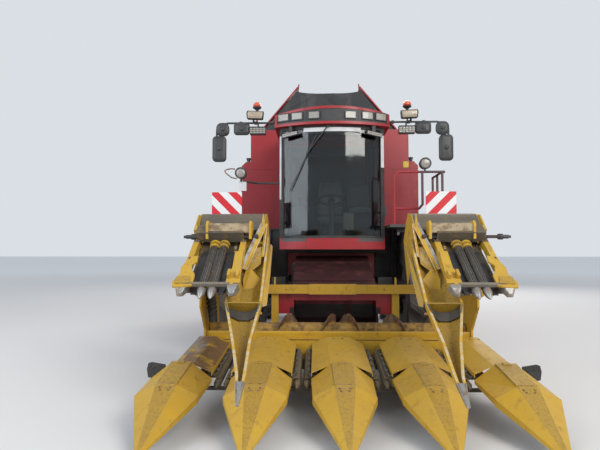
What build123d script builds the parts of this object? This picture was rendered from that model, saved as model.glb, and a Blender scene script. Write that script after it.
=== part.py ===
from build123d import *
from math import atan2, cos, degrees, hypot, radians, sin, tan
import os

# A combine harvester with a six-row maize header whose outer rows are folded over the middle four.
# Millimetres. X points to the machine's left side, Y to its tail, Z up.
# Lengths along Y are counted from the front axle until the end, where the origin moves to mid-length.

# Running gear
wheelbase = 3500
front_tyre_radius = 915
front_tyre_width = 780
front_rim_radius = 406
front_track_half = 1460
front_lugs = 18
rear_tyre_radius = 640
rear_tyre_width = 420
rear_rim_radius = 305
rear_track_half = 1380
rear_lugs = 15
lug_depth = 46
lug_slant = 38
tyre_sides = 24
rim_sheet = 14
front_disc = 60
rear_disc = 40
front_hub = 240
rear_hub = 130
kingpin_x = 1075
kingpin_radius = 45
spindle_radius = 60
running_gap = 0.3
seat_gap = 0.3
moving_gap = 8

# Body
sheet = 25
body_half = 1620
core_half = 700
core_floor = 1120
body_front = 220
tank_front = 1150
tank_rear = 3050
tank_floor = 2080
tank_top = 3750
shoulder_z = tank_top - 590
shoulder_chamfer = 80
tank_top_half = body_half - 170
front_wall = 60
wall_foot = 1880
wall_lap = 6
shield_bottom = 1180
shield_arch = 1370
shield_rear = 4380
engine_rear = 4300
engine_top = shoulder_z
hood_rear = engine_rear + 1180
straw_top = tank_floor + 340
straw_low = 1000
straw_lip = core_floor + 30
straw_sheet = 26
rail_half = 450
door_y = (1340, 2480)
door_z = (1240, 1960)
swage_height = 12
hinge_radius = 10
hinge_pin = 5
screen_y = 3690
screen_z = 2640
screen_radius = 500
screen_depth = 150
spreader_x = 380
spreader_y = 4900
spreader_z = 900

# Unloading tube
tube_radius = 165
tube_x = body_half - 180
tube_y = 1420
tube_z = shoulder_z - tube_radius - 12
tube_end = 5620
tube_notch = tube_x - 200
tube_notch_z = tube_z - 230

# Tank covers
cover_length = 1180
cover_lean = 40
cover_hinge_x = tank_top_half - 105
cover_front = 1560
cover_rear = 2860
cover_thickness = 22
cover_base = 30
cover_pin_x = cover_hinge_x + 8
cover_pin_z = 22

# Cab
cab_half = 800
cab_front = -650
cab_rear = 1080
sill_bottom = 1540
sill_top = 1720
glass_top = 3400
roof_top = glass_top + 268
roof_half = 875
roof_drop = 80
roof_bow = 250
roof_front = cab_front - 90
roof_rear = cab_rear + 30
trim = 38
fascia_half = roof_half - 40
fascia_depth = 16
fascia_sheet = 8
glass = 8
post = 60
windscreen_bow = 220
cab_door_y = (-400, 640)
cab_hinge = (cab_half + 15, cab_door_y[1] - 4)
cab_hinge_heights = (2060, 3120)
cab_floor = sill_top - 60
rear_window = (2350, 3250)
quarter_y = (cab_door_y[1] + 70, cab_rear - 100)

# Walkway and ladder
deck_z = 1900
deck_front = -800
deck_sheet = 40
door_sill = deck_z + 12
ladder_x = (1400, 1850)
rail_radius = 17
rail_y = deck_front + 60
rail_top = deck_z + 770

# Mirrors and lamps on their arms
arm_y = -460
arm_z = 3482
arm_radius = 14
arm_end = 1770
stem_x = 1150

# Feeder and lift
lift_y = 50
lift_z = 1250
feeder_half = 560
feeder_front = -1560
feeder_top_rear = 1440
feeder_top_front = 965
feeder_depth = 470
lift_pin = 32
feeder_rear = -130
ram_x = 430
ram_base = (-190, 690)
ram_pin = (-1220, 470)
ram_radius = 45
rod_radius = 26

# Maize header
row_spacing = 750
divider_count = 5
divider_half = 285
snout_rear = -3450
snout_tip = -4710
hood_rear_y = -2410
hood_sheet = 6
hood_front_top = 455
hood_rear_top = 545
hood_front_flat = 105
hood_rear_flat = 130
hood_fold = 75
hood_skirt = 110
auger_y = -2150
auger_z = 580
auger_radius = 195
core_radius = 90
auger_pitch = 520
toolbar_front = auger_y - 250
trough_radius = 215
trough_sides = 24
trough_half = 1500
header_rear = feeder_front - 30
header_back = header_rear - 110
beam_size = 110
beam_top = 1080
post_x = 770
fold_x = 1545
fold_y = -2520
fold_z = 1080
fold_slope = 20
knuckle_radius = 34
fold_pin_radius = 20
arm_offset = 240
arm_width = 56
arm_height = 82
arm_front = -3420
arm_slope = 7
arm_rear_z = 372
end_front = auger_y - 260
guard_sheet = 6
guard_top = 1100
plate = 10
stub_radius = 30


def slab(x, y, z):
    size = (x[1] - x[0], y[1] - y[0], z[1] - z[0])
    middle = ((x[0] + x[1]) / 2, (y[0] + y[1]) / 2, (z[0] + z[1]) / 2)
    return Pos(*middle) * Box(*size)


def side_prism(points, x):
    """Points are (y, z); the prism runs between two x values."""
    face = Plane(origin=(x[0], 0, 0), x_dir=(0, 1, 0), z_dir=(1, 0, 0)) * Polygon(*points, align=None)
    return extrude(face, amount=x[1] - x[0], dir=(1, 0, 0))


def front_prism(points, y):
    """Points are (x, z); the prism runs between two y values."""
    face = Plane(origin=(0, y[0], 0), x_dir=(1, 0, 0), z_dir=(0, -1, 0)) * Polygon(*points, align=None)
    return extrude(face, amount=y[1] - y[0], dir=(0, 1, 0))


def rod(start, end, radius, sides=0):
    start = Vector(*start)
    end = Vector(*end)
    plane = Plane(origin=start, z_dir=end - start)
    section = RegularPolygon(radius, sides) if sides else Circle(radius)
    return extrude(plane * section, amount=(end - start).length)


def rail(points, radius=17, sides=8):
    """A bent rail with mitred corners."""
    path = Polyline(*points)
    first = Vector(*points[0])
    second = Vector(*points[1])
    shape = RegularPolygon(radius, sides, major_radius=False, rotation=180 / sides)
    section = Plane(origin=first, z_dir=second - first) * shape
    return sweep(section, path=path, transition=Transition.RIGHT)


def faceted(points, faces):
    """A closed solid from corner points and flat faces given as rows of point numbers."""
    skins = [Face(Wire.make_polygon([Vector(*points[i]) for i in row], close=True)) for row in faces]
    return Solid(Shell(skins))


def mirrored(solid):
    return mirror(solid, about=Plane.YZ)


def joined(solids):
    result = solids[0]
    for solid in solids[1:]:
        result = result + solid
    return result


def ring_section(x, radius, sides):
    return Plane(origin=(x, 0, 0), x_dir=(0, 0, 1), z_dir=(1, 0, 0)) * RegularPolygon(radius, sides)


def gear_ring(x, root, tip, phase, lugs):
    """Corner points of one ring of lugs about the X axis, four to a lug, counted from the lowest point."""
    pitch = 360 / lugs
    points = []
    for k in range(lugs):
        # share of the pitch from the lug's middle, radius
        for share, radius in ((-0.18, root), (-0.12, tip), (0.12, tip), (0.18, root)):
            angle = radians(phase + pitch * (k + share))
            points.append((x, -radius * sin(angle), -radius * cos(angle)))
    return points


def tread_half(side, radius, width, lugs):
    """Half a tread: lugs that run from the middle to the shoulder, slanting back as they go."""
    reach = 0.47 * width
    twist = degrees(reach * tan(radians(lug_slant)) / radius)
    start = 0.12 * 360 / lugs + (180 / lugs if side > 0 else 0)
    root = radius - lug_depth
    rings = []
    # share of reach, drop of the root, drop of the tip
    for share, root_drop, tip_drop in ((0, 0, 0), (0.55, 3, 2), (1, 24, 14)):
        phase = start + share * twist
        rings.append(gear_ring(side * share * reach, root - root_drop, radius - tip_drop, phase, lugs))
    count = 4 * lugs
    faces = [tuple(range(count)), tuple(range(2 * count, 3 * count))]
    for row in range(2):
        for k in range(count):
            a = row * count + k
            b = row * count + (k + 1) % count
            faces.append((a, b, b + count))
            faces.append((a, b + count, a + count))
    return faceted([point for ring in rings for point in ring], faces)


def tyre(radius, width, rim_radius, lugs):
    """A tyre about the X axis: a many-sided carcass under two rows of slanted lugs."""
    wall = radius - lug_depth - rim_radius
    # share of width from the middle, radius
    profile = (
        (-0.38, rim_radius + 25),
        (-0.475, rim_radius + 0.45 * wall),
        (-0.49, rim_radius + 0.70 * wall),
        (-0.45, radius - lug_depth - 40),
    )
    profile = profile + tuple((-share, r) for share, r in reversed(profile))
    body = loft([ring_section(share * width, r, tyre_sides) for share, r in profile], ruled=True)
    body = body + tread_half(-1, radius, width, lugs) + tread_half(1, radius, width, lugs)
    bore = extrude(ring_section(-width / 2, rim_radius, tyre_sides), amount=width)
    return body - bore


def rim(radius, width, disc_x, hub_length):
    """A wheel rim about the X axis, its disc at disc_x and its hub running inwards from it."""
    outer = radius - seat_gap
    barrel = extrude(ring_section(-0.36 * width, outer, tyre_sides), amount=0.72 * width)
    barrel = barrel - extrude(ring_section(-0.36 * width, outer - rim_sheet, tyre_sides), amount=0.72 * width)
    disc = extrude(ring_section(disc_x - 8, outer - 4, tyre_sides), amount=16)
    cone_rings = [ring_section(disc_x + 8, 0.62 * radius, 16), ring_section(disc_x + 48, 0.48 * radius, 16)]
    cone = loft(cone_rings, ruled=True)
    hub = extrude(ring_section(disc_x - hub_length, 0.3 * radius, 16), amount=hub_length)
    cap = extrude(ring_section(disc_x + 48, 0.24 * radius, 12), amount=40)
    solid = barrel + disc + cone + hub + cap
    hole = rod((disc_x - 30, 0, 0), (disc_x + 30, 0, 0), 0.07 * radius, 8)
    for k in range(8):
        solid = solid - Rot(45 * k, 0, 0) * Pos(0, 0, 0.8 * radius) * hole
    return solid - rod((disc_x - hub_length - 5, 0, 0), (disc_x + 20, 0, 0), spindle_radius + running_gap)


parts = {}

# Wheels
front_wheel_place = Pos(front_track_half, 0, front_tyre_radius)
rear_wheel_place = Pos(rear_track_half, wheelbase, rear_tyre_radius)
front_tyre = front_wheel_place * tyre(front_tyre_radius, front_tyre_width, front_rim_radius, front_lugs)
rear_tyre = rear_wheel_place * tyre(rear_tyre_radius, rear_tyre_width, rear_rim_radius, rear_lugs)
front_rim = front_wheel_place * rim(front_rim_radius, front_tyre_width, front_disc, front_hub)
rear_rim = rear_wheel_place * rim(rear_rim_radius, rear_tyre_width, rear_disc, rear_hub)
parts["front_tyre_left"] = front_tyre
parts["front_tyre_right"] = mirrored(front_tyre)
parts["front_rim_left"] = front_rim
parts["front_rim_right"] = mirrored(front_rim)
parts["rear_tyre_left"] = rear_tyre
parts["rear_tyre_right"] = mirrored(rear_tyre)
parts["rear_rim_left"] = rear_rim
parts["rear_rim_right"] = mirrored(rear_rim)


def front_axle():
    hub_face = front_track_half + front_disc - front_hub - moving_gap
    spindle_end = front_track_half + front_disc - 40
    z = front_tyre_radius
    beam = slab((-760, 760), (-120, 120), (z - 120, z + 115))
    gearbox = slab((-260, 260), (-110, 250), (z - 160, z + 115))
    solid = beam + gearbox
    base_y, base_z = ram_base
    for side in (-1, 1):
        x = side * ram_x
        drop = slab(sorted((side * 720, side * 940)), (-190, 190), (z - 190, z + 190))
        flange = rod((side * 930, 0, z), (side * hub_face, 0, z), 150, 16)
        spindle = rod((side * 930, 0, z), (side * spindle_end, 0, z), spindle_radius)
        bracket = slab((x - 60, x + 60), (base_y - 40, -100), (base_z - 45, z - 60))
        slot = slab((x - 34, x + 34), (base_y - 80, -140), (base_z - 80, z - 100))
        pin = rod((x - 60, base_y, base_z), (x + 60, base_y, base_z), 20)
        solid = solid + drop + flange + spindle + (bracket - slot) + pin
    return solid


def rear_axle():
    z = rear_tyre_radius
    beam = front_prism(
        [(-980, z - 70), (-300, z + 110), (300, z + 110), (980, z - 70),
         (980, z + 70), (300, z + 260), (-300, z + 260), (-980, z + 70)],
        (wheelbase - 75, wheelbase + 75),
    )
    pivot = slab((-120, 120), (wheelbase - 130, wheelbase + 130), (z + 230, core_floor - 160))
    solid = beam + pivot
    for side in (-1, 1):
        x = side * kingpin_x
        ears = slab(sorted((side * 960, x + side * 60)), (wheelbase - 60, wheelbase + 60), (z - 170, z + 170))
        gap = slab(sorted((side * 1000, side * 1200)), (wheelbase - 90, wheelbase + 90), (z - 120, z + 120))
        pin = rod((x, wheelbase, z - 169), (x, wheelbase, z + 169), kingpin_radius)
        solid = solid + (ears - gap) + pin
    return solid


def knuckle():
    z = rear_tyre_radius
    reach = 120 - moving_gap
    sleeve = rod((kingpin_x, wheelbase, z - reach), (kingpin_x, wheelbase, z + reach), 68)
    hub_face = rear_track_half + rear_disc - rear_hub - moving_gap
    flange = rod((kingpin_x, wheelbase, z), (hub_face, wheelbase, z), 85, 16)
    spindle = rod((kingpin_x, wheelbase, z), (rear_track_half + rear_disc - 30, wheelbase, z), spindle_radius)
    arm = slab((kingpin_x - 20, kingpin_x + 20), (wheelbase + 50, wheelbase + 260), (z - 20, z + 20))
    solid = sleeve + flange + spindle + arm
    bore = rod((kingpin_x, wheelbase, z - 200), (kingpin_x, wheelbase, z + 200), kingpin_radius + running_gap)
    return solid - bore


parts["front_axle"] = front_axle()
parts["rear_axle"] = rear_axle()
parts["knuckle_left"] = knuckle()
parts["knuckle_right"] = mirrored(knuckle())


def frame():
    rail_bottom = front_tyre_radius + 115
    solid = slab((-rail_half - 60, -rail_half + 60), (-110, 4700), (rail_bottom, core_floor))
    solid = solid + slab((rail_half - 60, rail_half + 60), (-110, 4700), (rail_bottom, core_floor))
    for y in (1200, 2400, wheelbase, 4600):
        solid = solid + slab((-rail_half, rail_half), (y - 50, y + 50), (rail_bottom, core_floor))
    cheek = feeder_half + 30 + moving_gap
    tie_z = (rail_bottom, core_floor - 20)
    solid = solid + slab((-cheek - 40, cheek + 40), (lift_y - 60, lift_y + 60), tie_z)
    for side in (-1, 1):
        x = sorted((side * cheek, side * (cheek + 40)))
        pin_ends = (side * (feeder_half + 2), side * (cheek + 38))
        solid = solid + slab(x, (lift_y - 70, lift_y + 70), (rail_bottom, lift_z + 70))
        solid = solid + rod((pin_ends[0], lift_y, lift_z), (pin_ends[1], lift_y, lift_z), lift_pin)
    pivot_post = slab((-160, 160), (wheelbase - 140, wheelbase + 140), (core_floor - 160, core_floor - 60))
    hitch = slab((-60, 60), (4640, 4860), (rail_bottom - 20, rail_bottom + 60))
    bore = rod((0, 4800, rail_bottom - 60), (0, 4800, rail_bottom + 100), 16)
    return solid + pivot_post + hitch - bore


parts["frame"] = frame()


def threshing_body():
    """The closed rotor and sieve housing between the wheels."""
    step = tank_front + front_wall + 5
    top = sill_bottom - 60
    profile = [
        (body_front, core_floor), (engine_rear, core_floor), (engine_rear, tank_floor),
        (step, tank_floor), (step, top), (body_front, top),
    ]
    return side_prism(profile, (-core_half, core_half))


def swage(side, y, z):
    """A pressed rib standing out of a side wall."""
    face = side * (body_half - 2)
    out = side * (body_half + swage_height)
    return front_prism([(face, z - 35), (out, z - 22), (out, z + 22), (face, z + 35)], y)


def side_wall(side):
    """One lower side shield with the hole for its service door."""
    x = sorted((side * (body_half - sheet), side * body_half))
    front = tank_front + front_wall + 5
    wall = side_prism(
        [(front, 1320), (front + 90, shield_bottom), (2560, shield_bottom), (2700, shield_arch),
         (shield_rear, shield_arch), (shield_rear, tank_floor), (front, tank_floor)], x)
    hole = slab((x[0] - 10, x[1] + 10), (door_y[0] - moving_gap, door_y[1] + moving_gap),
                (door_z[0] - moving_gap, door_z[1] + moving_gap))
    ribs = []
    for y in (1240, 2620, 4260):
        inner = sorted((side * core_half, side * (body_half - sheet)))
        ribs.append(slab(inner, (y - 15, y + 15), (1560, 1640)))
    swages = []
    for z in (1480, 1700, 1920):
        swages.append(swage(side, (2640, 4200), z))
    return joined([wall - hole] + ribs + swages + [door_hinges(side, False)])


def hinge(start, end, radius=hinge_radius, bore=0):
    """An eight-sided hinge barrel between two points, bored for its pin."""
    barrel = rod(start, end, radius, 8)
    return barrel - rod(start, end, bore) if bore else barrel


def door_hinges(side, moving):
    """Barrels above a service door: two on the door, with pins held by the wall on either side."""
    x = side * (body_half + hinge_radius + 2)
    z = door_z[1] + 4
    solids = []
    for y in (door_y[0] + 150, door_y[1] - 150):
        if moving:
            barrel = hinge((x, y - 50, z), (x, y + 50, z), bore=hinge_pin + running_gap)
            leaf = slab(sorted((side * body_half, x)), (y - 50, y + 50), (z - 30, z - 5))
            solids.append(barrel + (leaf - rod((x, y - 60, z), (x, y + 60, z), hinge_radius - 1)))
        else:
            for low, high in ((y - 90, y - 55), (y + 55, y + 90)):
                leaf = slab(sorted((side * body_half, x)), (low, high), (z + 5, z + 30))
                solids.append(hinge((x, low, z), (x, high, z)) + leaf)
            solids.append(rod((x, y - 89, z), (x, y + 89, z), hinge_pin))
    return joined(solids)


def service_door(side):
    x = sorted((side * (body_half - sheet), side * body_half))
    panel = slab(x, door_y, door_z)
    lip_x = sorted((side * (body_half - 60), side * (body_half - sheet)))
    lip = slab(lip_x, (door_y[0] + 60, door_y[1] - 60), (door_z[0] + 60, door_z[0] + 90))
    handle_x = sorted((side * body_half, side * (body_half + 25)))
    handle = slab(handle_x, (1870, 1950), (door_z[0] + 40, door_z[0] + 65))
    solid = panel + lip + handle + door_hinges(side, True)
    for z in (1420, 1600, 1780):
        solid = solid + swage(side, (door_y[0] + 90, door_y[1] - 90), z)
    return solid


parts["threshing_body"] = threshing_body()
parts["side_shields"] = Compound([side_wall(1), side_wall(-1)])
parts["service_door_left"] = service_door(1)
parts["service_door_right"] = service_door(-1)


def tank_outline(grow):
    """The tank's section seen from the front, grown or shrunk by grow."""
    return [
        (-body_half - grow, tank_floor - grow), (body_half + grow, tank_floor - grow),
        (body_half + grow, tube_notch_z + grow), (tube_notch + grow, tube_notch_z + grow),
        (tube_notch + grow, tank_top), (-tank_top_half - grow, tank_top),
        (-tank_top_half - grow, shoulder_z + grow), (shoulder_chamfer - body_half, shoulder_z + grow),
        (-body_half - grow, shoulder_z - shoulder_chamfer),
    ]


def tank_wall():
    """The front wall, wider than the tank's neck by its two chamfered shoulders."""
    right = [
        (body_half, wall_foot), (body_half, shoulder_z - shoulder_chamfer),
        (body_half - shoulder_chamfer, shoulder_z), (tank_top_half, shoulder_z), (tank_top_half, tank_top),
    ]
    left = [(-x, z) for x, z in reversed(right)]
    wall = front_prism(right + left, (tank_front, tank_front + front_wall))
    # a shallow step below the shoulders, where the upper panel laps over the lower one
    lap_z = (wall_foot - 1, shoulder_z - 140)
    lap = slab((-body_half - 1, body_half + 1), (tank_front - 1, tank_front + wall_lap), lap_z)
    return wall - lap


def grain_tank():
    behind_wall = tank_front + front_wall
    room_y = (behind_wall, tank_rear - sheet)
    shell = front_prism(tank_outline(0), (behind_wall, tank_rear))
    hollow = front_prism(tank_outline(-sheet), room_y)
    open_top = slab((-tank_top_half + sheet, tube_notch - sheet), room_y, (tank_top - 100, tank_top + 50))
    # a strip of wall beside the tube on the left, up to the cover's hinge
    strip = slab((tube_notch, tank_top_half), (behind_wall, tank_rear), (tank_top - 60, tank_top))
    return tank_wall() + (shell - hollow - open_top) + strip


def cover_profile(thickness):
    """A lid seen from the front, open: from its hinge up and inwards."""
    lean = radians(cover_lean)
    along = (-sin(lean), cos(lean))
    across = (cos(lean), sin(lean))
    base = (cover_hinge_x, tank_top + cover_base)
    top = (base[0] + along[0] * cover_length, base[1] + along[1] * cover_length)
    return [
        base, top,
        (top[0] + across[0] * thickness, top[1] + across[1] * thickness),
        (base[0] + across[0] * thickness, base[1] + across[1] * thickness),
    ]


def tank_cover():
    panel = front_prism(cover_profile(cover_thickness), (cover_front, cover_rear))
    horns = []
    lean = radians(cover_lean)
    top = (cover_hinge_x - sin(lean) * cover_length, tank_top + cover_base + cos(lean) * cover_length)
    for y in (cover_front + 20, cover_rear - 20):
        horns.append(rod((top[0], y, top[1] - 40), (top[0] - 10, y, top[1] + 60), 12, 6))
    for y in (cover_front + 120, cover_rear - 120):
        z = tank_top + cover_pin_z
        horns.append(hinge((cover_pin_x, y - 40, z), (cover_pin_x, y + 40, z), 14, 8 + running_gap))
    return joined([panel] + horns)


def cover_hinges():
    """Lugs and pins on the tank's rim below each cover."""
    lugs = []
    z = tank_top + cover_pin_z
    for side in (-1, 1):
        x = side * cover_pin_x
        rim_x = sorted((side * (cover_pin_x - 60), side * tank_top_half))
        lug_x = sorted((side * (cover_pin_x - 8), side * (cover_pin_x + 14)))
        lugs.append(slab(rim_x, (cover_front, cover_rear), (tank_top - 30, tank_top)))
        for y in (cover_front + 120, cover_rear - 120):
            for low, high in ((y - 70, y - 46), (y + 46, y + 70)):
                lugs.append(slab(lug_x, (low, high), (tank_top - 5, z + 2)))
            lugs.append(rod((x, y - 69, z), (x, y + 69, z), 8))
    return lugs


def tank_canvas():
    """The front and rear cloth between the open covers."""
    lean = radians(cover_lean)
    bottom_x = cover_hinge_x - 40
    top_x = bottom_x - sin(lean) * (cover_length - 60)
    low = tank_top + seat_gap
    high = low + cos(lean) * (cover_length - 60)
    section = [(-bottom_x, low), (bottom_x, low), (top_x, high), (-top_x, high)]
    panels = []
    for y in (cover_front + 10, cover_rear - 22):
        panels.append(front_prism(section, (y, y + 12)))
    return Compound(panels)


parts["tank_cover_left"] = tank_cover()
parts["tank_cover_right"] = mirrored(tank_cover())
parts["tank_canvas"] = tank_canvas()


def unloader_turret():
    foot = slab((tube_x - 175, body_half), (tube_y - 175, tube_y + 175), (tube_notch_z, tube_notch_z + 30))
    return foot + rod((tube_x, tube_y, tube_notch_z), (tube_x, tube_y, tube_notch_z + 90), tube_radius - 30)


def unloader_tube():
    base = tube_notch_z + 30 + moving_gap
    elbow = rod((tube_x, tube_y, base), (tube_x, tube_y, tube_z + tube_radius), tube_radius)
    barrel = rod((tube_x, tube_y, tube_z + 20), (tube_x, tube_end - 260, tube_z + 20), tube_radius - 20)
    spout = side_prism(
        [(tube_end - 300, tube_z + 180), (tube_end - 60, tube_z + 150), (tube_end, tube_z - 60),
         (tube_end - 60, tube_z - 330), (tube_end - 300, tube_z - 300)],
        (tube_x - 170, tube_x + 170))
    socket_radius = tube_radius - 30 + running_gap
    socket = rod((tube_x, tube_y, base - 10), (tube_x, tube_y, tube_notch_z + 98), socket_radius)
    return elbow + barrel + spout - socket


parts["grain_tank"] = joined([grain_tank(), unloader_turret()] + cover_hinges())
parts["unloader_tube"] = unloader_tube()


def engine_hood():
    """The engine's cover, open below, with a round window and a shaft for the rotary screen."""
    x = (-body_half + 60, tube_notch - 5)
    y = (tank_rear, engine_rear)
    room_y = (y[0] + sheet, y[1] - sheet)
    outer = slab(x, y, (tank_floor, engine_top))
    inner = slab((x[0] + sheet, x[1] - sheet), room_y, (tank_floor - 1, engine_top - sheet))
    lower = slab((x[1], body_half), y, (tank_floor, tube_notch_z))
    lower = lower - slab((x[1] - 1, body_half - sheet), room_y, (tank_floor - 1, tube_notch_z - sheet))
    window = rod((x[0] - 10, screen_y, screen_z), (x[0] + 60, screen_y, screen_z), screen_radius - 60, 24)
    bar_y = (screen_y - screen_radius, screen_y + screen_radius)
    bar = slab((x[0], x[0] + sheet), bar_y, (screen_z - 40, screen_z + 40))
    shaft = rod((x[0] + 10, screen_y, screen_z), (x[0] - moving_gap - 60, screen_y, screen_z), 25)
    return outer - inner + lower - (window - bar) + shaft


def rotary_screen():
    face = -body_half + 60 - moving_gap
    back = face - screen_depth
    drum = rod((face, screen_y, screen_z), (back, screen_y, screen_z), screen_radius, 24)
    hollow = rod((face + 5, screen_y, screen_z), (back + 12, screen_y, screen_z), screen_radius - 12, 24)
    boss = rod((face, screen_y, screen_z), (back - 25, screen_y, screen_z), 70, 12)
    bore = rod((face + 5, screen_y, screen_z), (face - 70, screen_y, screen_z), 25 + running_gap)
    return drum - hollow + boss - bore


parts["engine_hood"] = engine_hood()
parts["engine"] = slab((-560, 620), (tank_rear + 120, engine_rear - 160), (tank_floor, 2960))
parts["rotary_screen"] = rotary_screen()


def rear_hood():
    """The straw hood behind the rotor, open below, its top falling to the tail."""
    front = engine_rear
    tail = hood_rear
    t = straw_sheet
    profile = [
        (front, straw_lip), (front, tank_floor - 20), (front + 200, straw_top), (tail - 480, straw_top),
        (tail, 1900), (tail, 1250), (tail - 230, straw_low), (tail - 720, straw_low), (tail - 780, straw_lip),
    ]
    inner = [
        (front + t, straw_lip - 10), (front + t, tank_floor - 30), (front + 200 + t / 2, straw_top - t),
        (tail - 490, straw_top - t), (tail - t, 1886), (tail - t, 1262), (tail - 230 - t, straw_low - 10),
        (tail - 730, straw_low - 10), (tail - 790, straw_lip - 10),
    ]
    outer = side_prism(profile, (-760, 760))
    return outer - side_prism(inner, (-760 + t, 760 - t))


def spreader(side):
    x = side * spreader_x
    disc = rod((x, spreader_y, spreader_z), (x, spreader_y, spreader_z + 8), 330)
    hub = rod((x, spreader_y, spreader_z), (x, spreader_y, spreader_z + 60), 50)
    bore = rod((x, spreader_y, spreader_z + 25), (x, spreader_y, spreader_z + 70), 20 + running_gap)
    vanes = []
    for k in range(4):
        vane = Rot(0, 0, 90 * k) * slab((60, 320), (-5, 5), (0, 55))
        vanes.append(Pos(x, spreader_y, spreader_z) * vane)
    return joined([disc, hub] + vanes) - bore


def spreader_frame():
    """The beam that carries the two spreader discs."""
    z = spreader_z + 60 + moving_gap
    y = (spreader_y - 50, spreader_y + 50)
    solid = slab((-735, 735), y, (z, z + 40))
    for side in (-1, 1):
        x = side * spreader_x
        solid = solid + slab(sorted((side * 700, side * 735)), y, (z, 1200))
        solid = solid + rod((x, spreader_y, spreader_z + 30), (x, spreader_y, z + 10), 20)
    return solid


parts["rear_hood"] = rear_hood() + spreader_frame()
parts["spreader_left"] = spreader(1)
parts["spreader_right"] = spreader(-1)


def glass_curve(inset):
    """The cab's outline in plan, inset from the outside, bowed at the front."""
    half = cab_half - inset
    front = cab_front + inset
    corner = cab_front + windscreen_bow + inset
    bow = ThreePointArc((-half, corner), (0, front), (half, corner))
    rest = Polyline((half, corner), (half, cab_rear - inset), (-half, cab_rear - inset), (-half, corner))
    return make_face(bow + rest)


def cab_block(inset, z):
    return extrude(Plane(origin=(0, 0, z[0])) * glass_curve(inset), amount=z[1] - z[0])


def cab_shell():
    """The cab's floor, sill, posts and rear wall, with its windows cut."""
    outer = cab_block(0, (sill_bottom, glass_top))
    room = cab_block(post, (cab_floor, glass_top + 10))
    top = glass_top - post
    left = (cab_half - 100, cab_half + 50)
    right = (-cab_half - 50, -cab_half + 100)
    cuts = [
        slab((-cab_half + post, cab_half - post), (cab_front - 50, cab_front + windscreen_bow + 130),
             (sill_top, glass_top + 10)),
        slab((-cab_half + 120, cab_half - 120), (cab_rear - 100, cab_rear + 50), rear_window),
        slab(right, (cab_door_y[0], cab_rear - 160), (sill_top, top)),
        slab(left, cab_door_y, (door_sill, top)),
        slab(left, quarter_y, (door_sill + 88, top)),
    ]
    solid = outer - room
    for cut in cuts:
        solid = solid - cut
    return solid


def cab_glass():
    """The windscreen, the right side window, the rear and the quarter window."""
    gap = seat_gap
    top = glass_top - post - gap
    screen = cab_block(10, (sill_top + gap, glass_top - gap))
    screen = screen - cab_block(10 + glass, (sill_top - 50, glass_top + 50))
    keep_x = cab_half - post - gap
    screen = screen & slab((-keep_x, keep_x), (cab_front - 50, cab_front + windscreen_bow + 130 - gap),
                           (sill_top - 10, glass_top + 10))
    side = slab((-cab_half + 20, -cab_half + 20 + glass), (cab_door_y[0] + gap, cab_rear - 160 - gap),
                (sill_top + gap, top))
    rear = slab((-cab_half + 120 + gap, cab_half - 120 - gap), (cab_rear - 30, cab_rear - 30 + glass),
                (rear_window[0] + gap, rear_window[1] - gap))
    quarter = slab((cab_half - 28, cab_half - 20), (quarter_y[0] + gap, quarter_y[1] - gap),
                   (door_sill + 88 + gap, top))
    return Compound([screen, side, rear, quarter])


def cab_hinges(moving):
    """Barrels on the door's rear edge and the lugs with pins that carry them."""
    x, y = cab_hinge
    solids = []
    for z in cab_hinge_heights:
        if moving:
            barrel = hinge((x, y, z), (x, y, z + 60), 14, 8 + running_gap)
            leaf = slab((cab_half, x + 8), (y - 50, y - 9), (z, z + 60))
            solids.append(barrel + leaf)
        else:
            lug = slab((cab_half, x + 14), (y, y + 70), (z - 45, z - 5))
            eye = rod((x, y, z - 45), (x, y, z - 5), 14, 8)
            solids.append(lug + eye + rod((x, y, z - 30), (x, y, z + 55), 8))
    return joined(solids)


def cab_door():
    """The door frame, hinged at its rear edge, with its handle."""
    y = (cab_door_y[0] + moving_gap, cab_door_y[1] - moving_gap)
    z = (door_sill + moving_gap, glass_top - post - moving_gap)
    x = (cab_half - 40, cab_half)
    pane = slab((x[0] - 5, x[1] + 5), (y[0] + post, y[1] - post), (z[0] + 90, z[1] - post))
    handle = slab((cab_half, cab_half + 35), (y[0] + 20, y[0] + 45), (2050, 2200))
    return slab(x, y, z) - pane + handle + cab_hinges(True)


def door_glass():
    inset = moving_gap + post + seat_gap
    z = (door_sill + moving_gap + 90 + seat_gap, glass_top - post - inset)
    return slab((cab_half - 24, cab_half - 16), (cab_door_y[0] + inset, cab_door_y[1] - inset), z)


def roof_block(inset, z):
    """The roof's outline in plan, inset from the outside, between two heights."""
    half = roof_half - inset
    corner = roof_front + roof_bow + inset
    bow = ThreePointArc((-half, corner), (0, roof_front + inset), (half, corner))
    rest = Polyline((half, corner), (half, roof_rear - inset), (-half, roof_rear - inset), (-half, corner))
    return extrude(Plane(origin=(0, 0, z[0])) * make_face(bow + rest), amount=z[1] - z[0])


def roof_crown(below):
    """The space under the roof's arched top, lowered by below."""
    high = roof_top - below
    low = high - roof_drop
    arch = ThreePointArc((-roof_half, low), (0, high), (roof_half, low))
    rest = Polyline((roof_half, low), (roof_half, 3000), (-roof_half, 3000), (-roof_half, low))
    plane = Plane(origin=(0, -1000, 0), x_dir=(1, 0, 0), z_dir=(0, -1, 0))
    return extrude(plane * make_face(arch + rest), amount=3000, dir=(0, 1, 0))


def roof_band(outside, inside, half, edge):
    """A strip along the roof's bowed front between two insets, edge clear of the trims."""
    z = (glass_top + trim + edge, roof_top)
    band = roof_block(outside, z) - roof_block(inside, (z[0] - 1, z[1] + 1))
    front = slab((-half, half), (roof_front - 50, roof_front + roof_bow + 60), z)
    return band & front & roof_crown(trim + edge)


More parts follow.
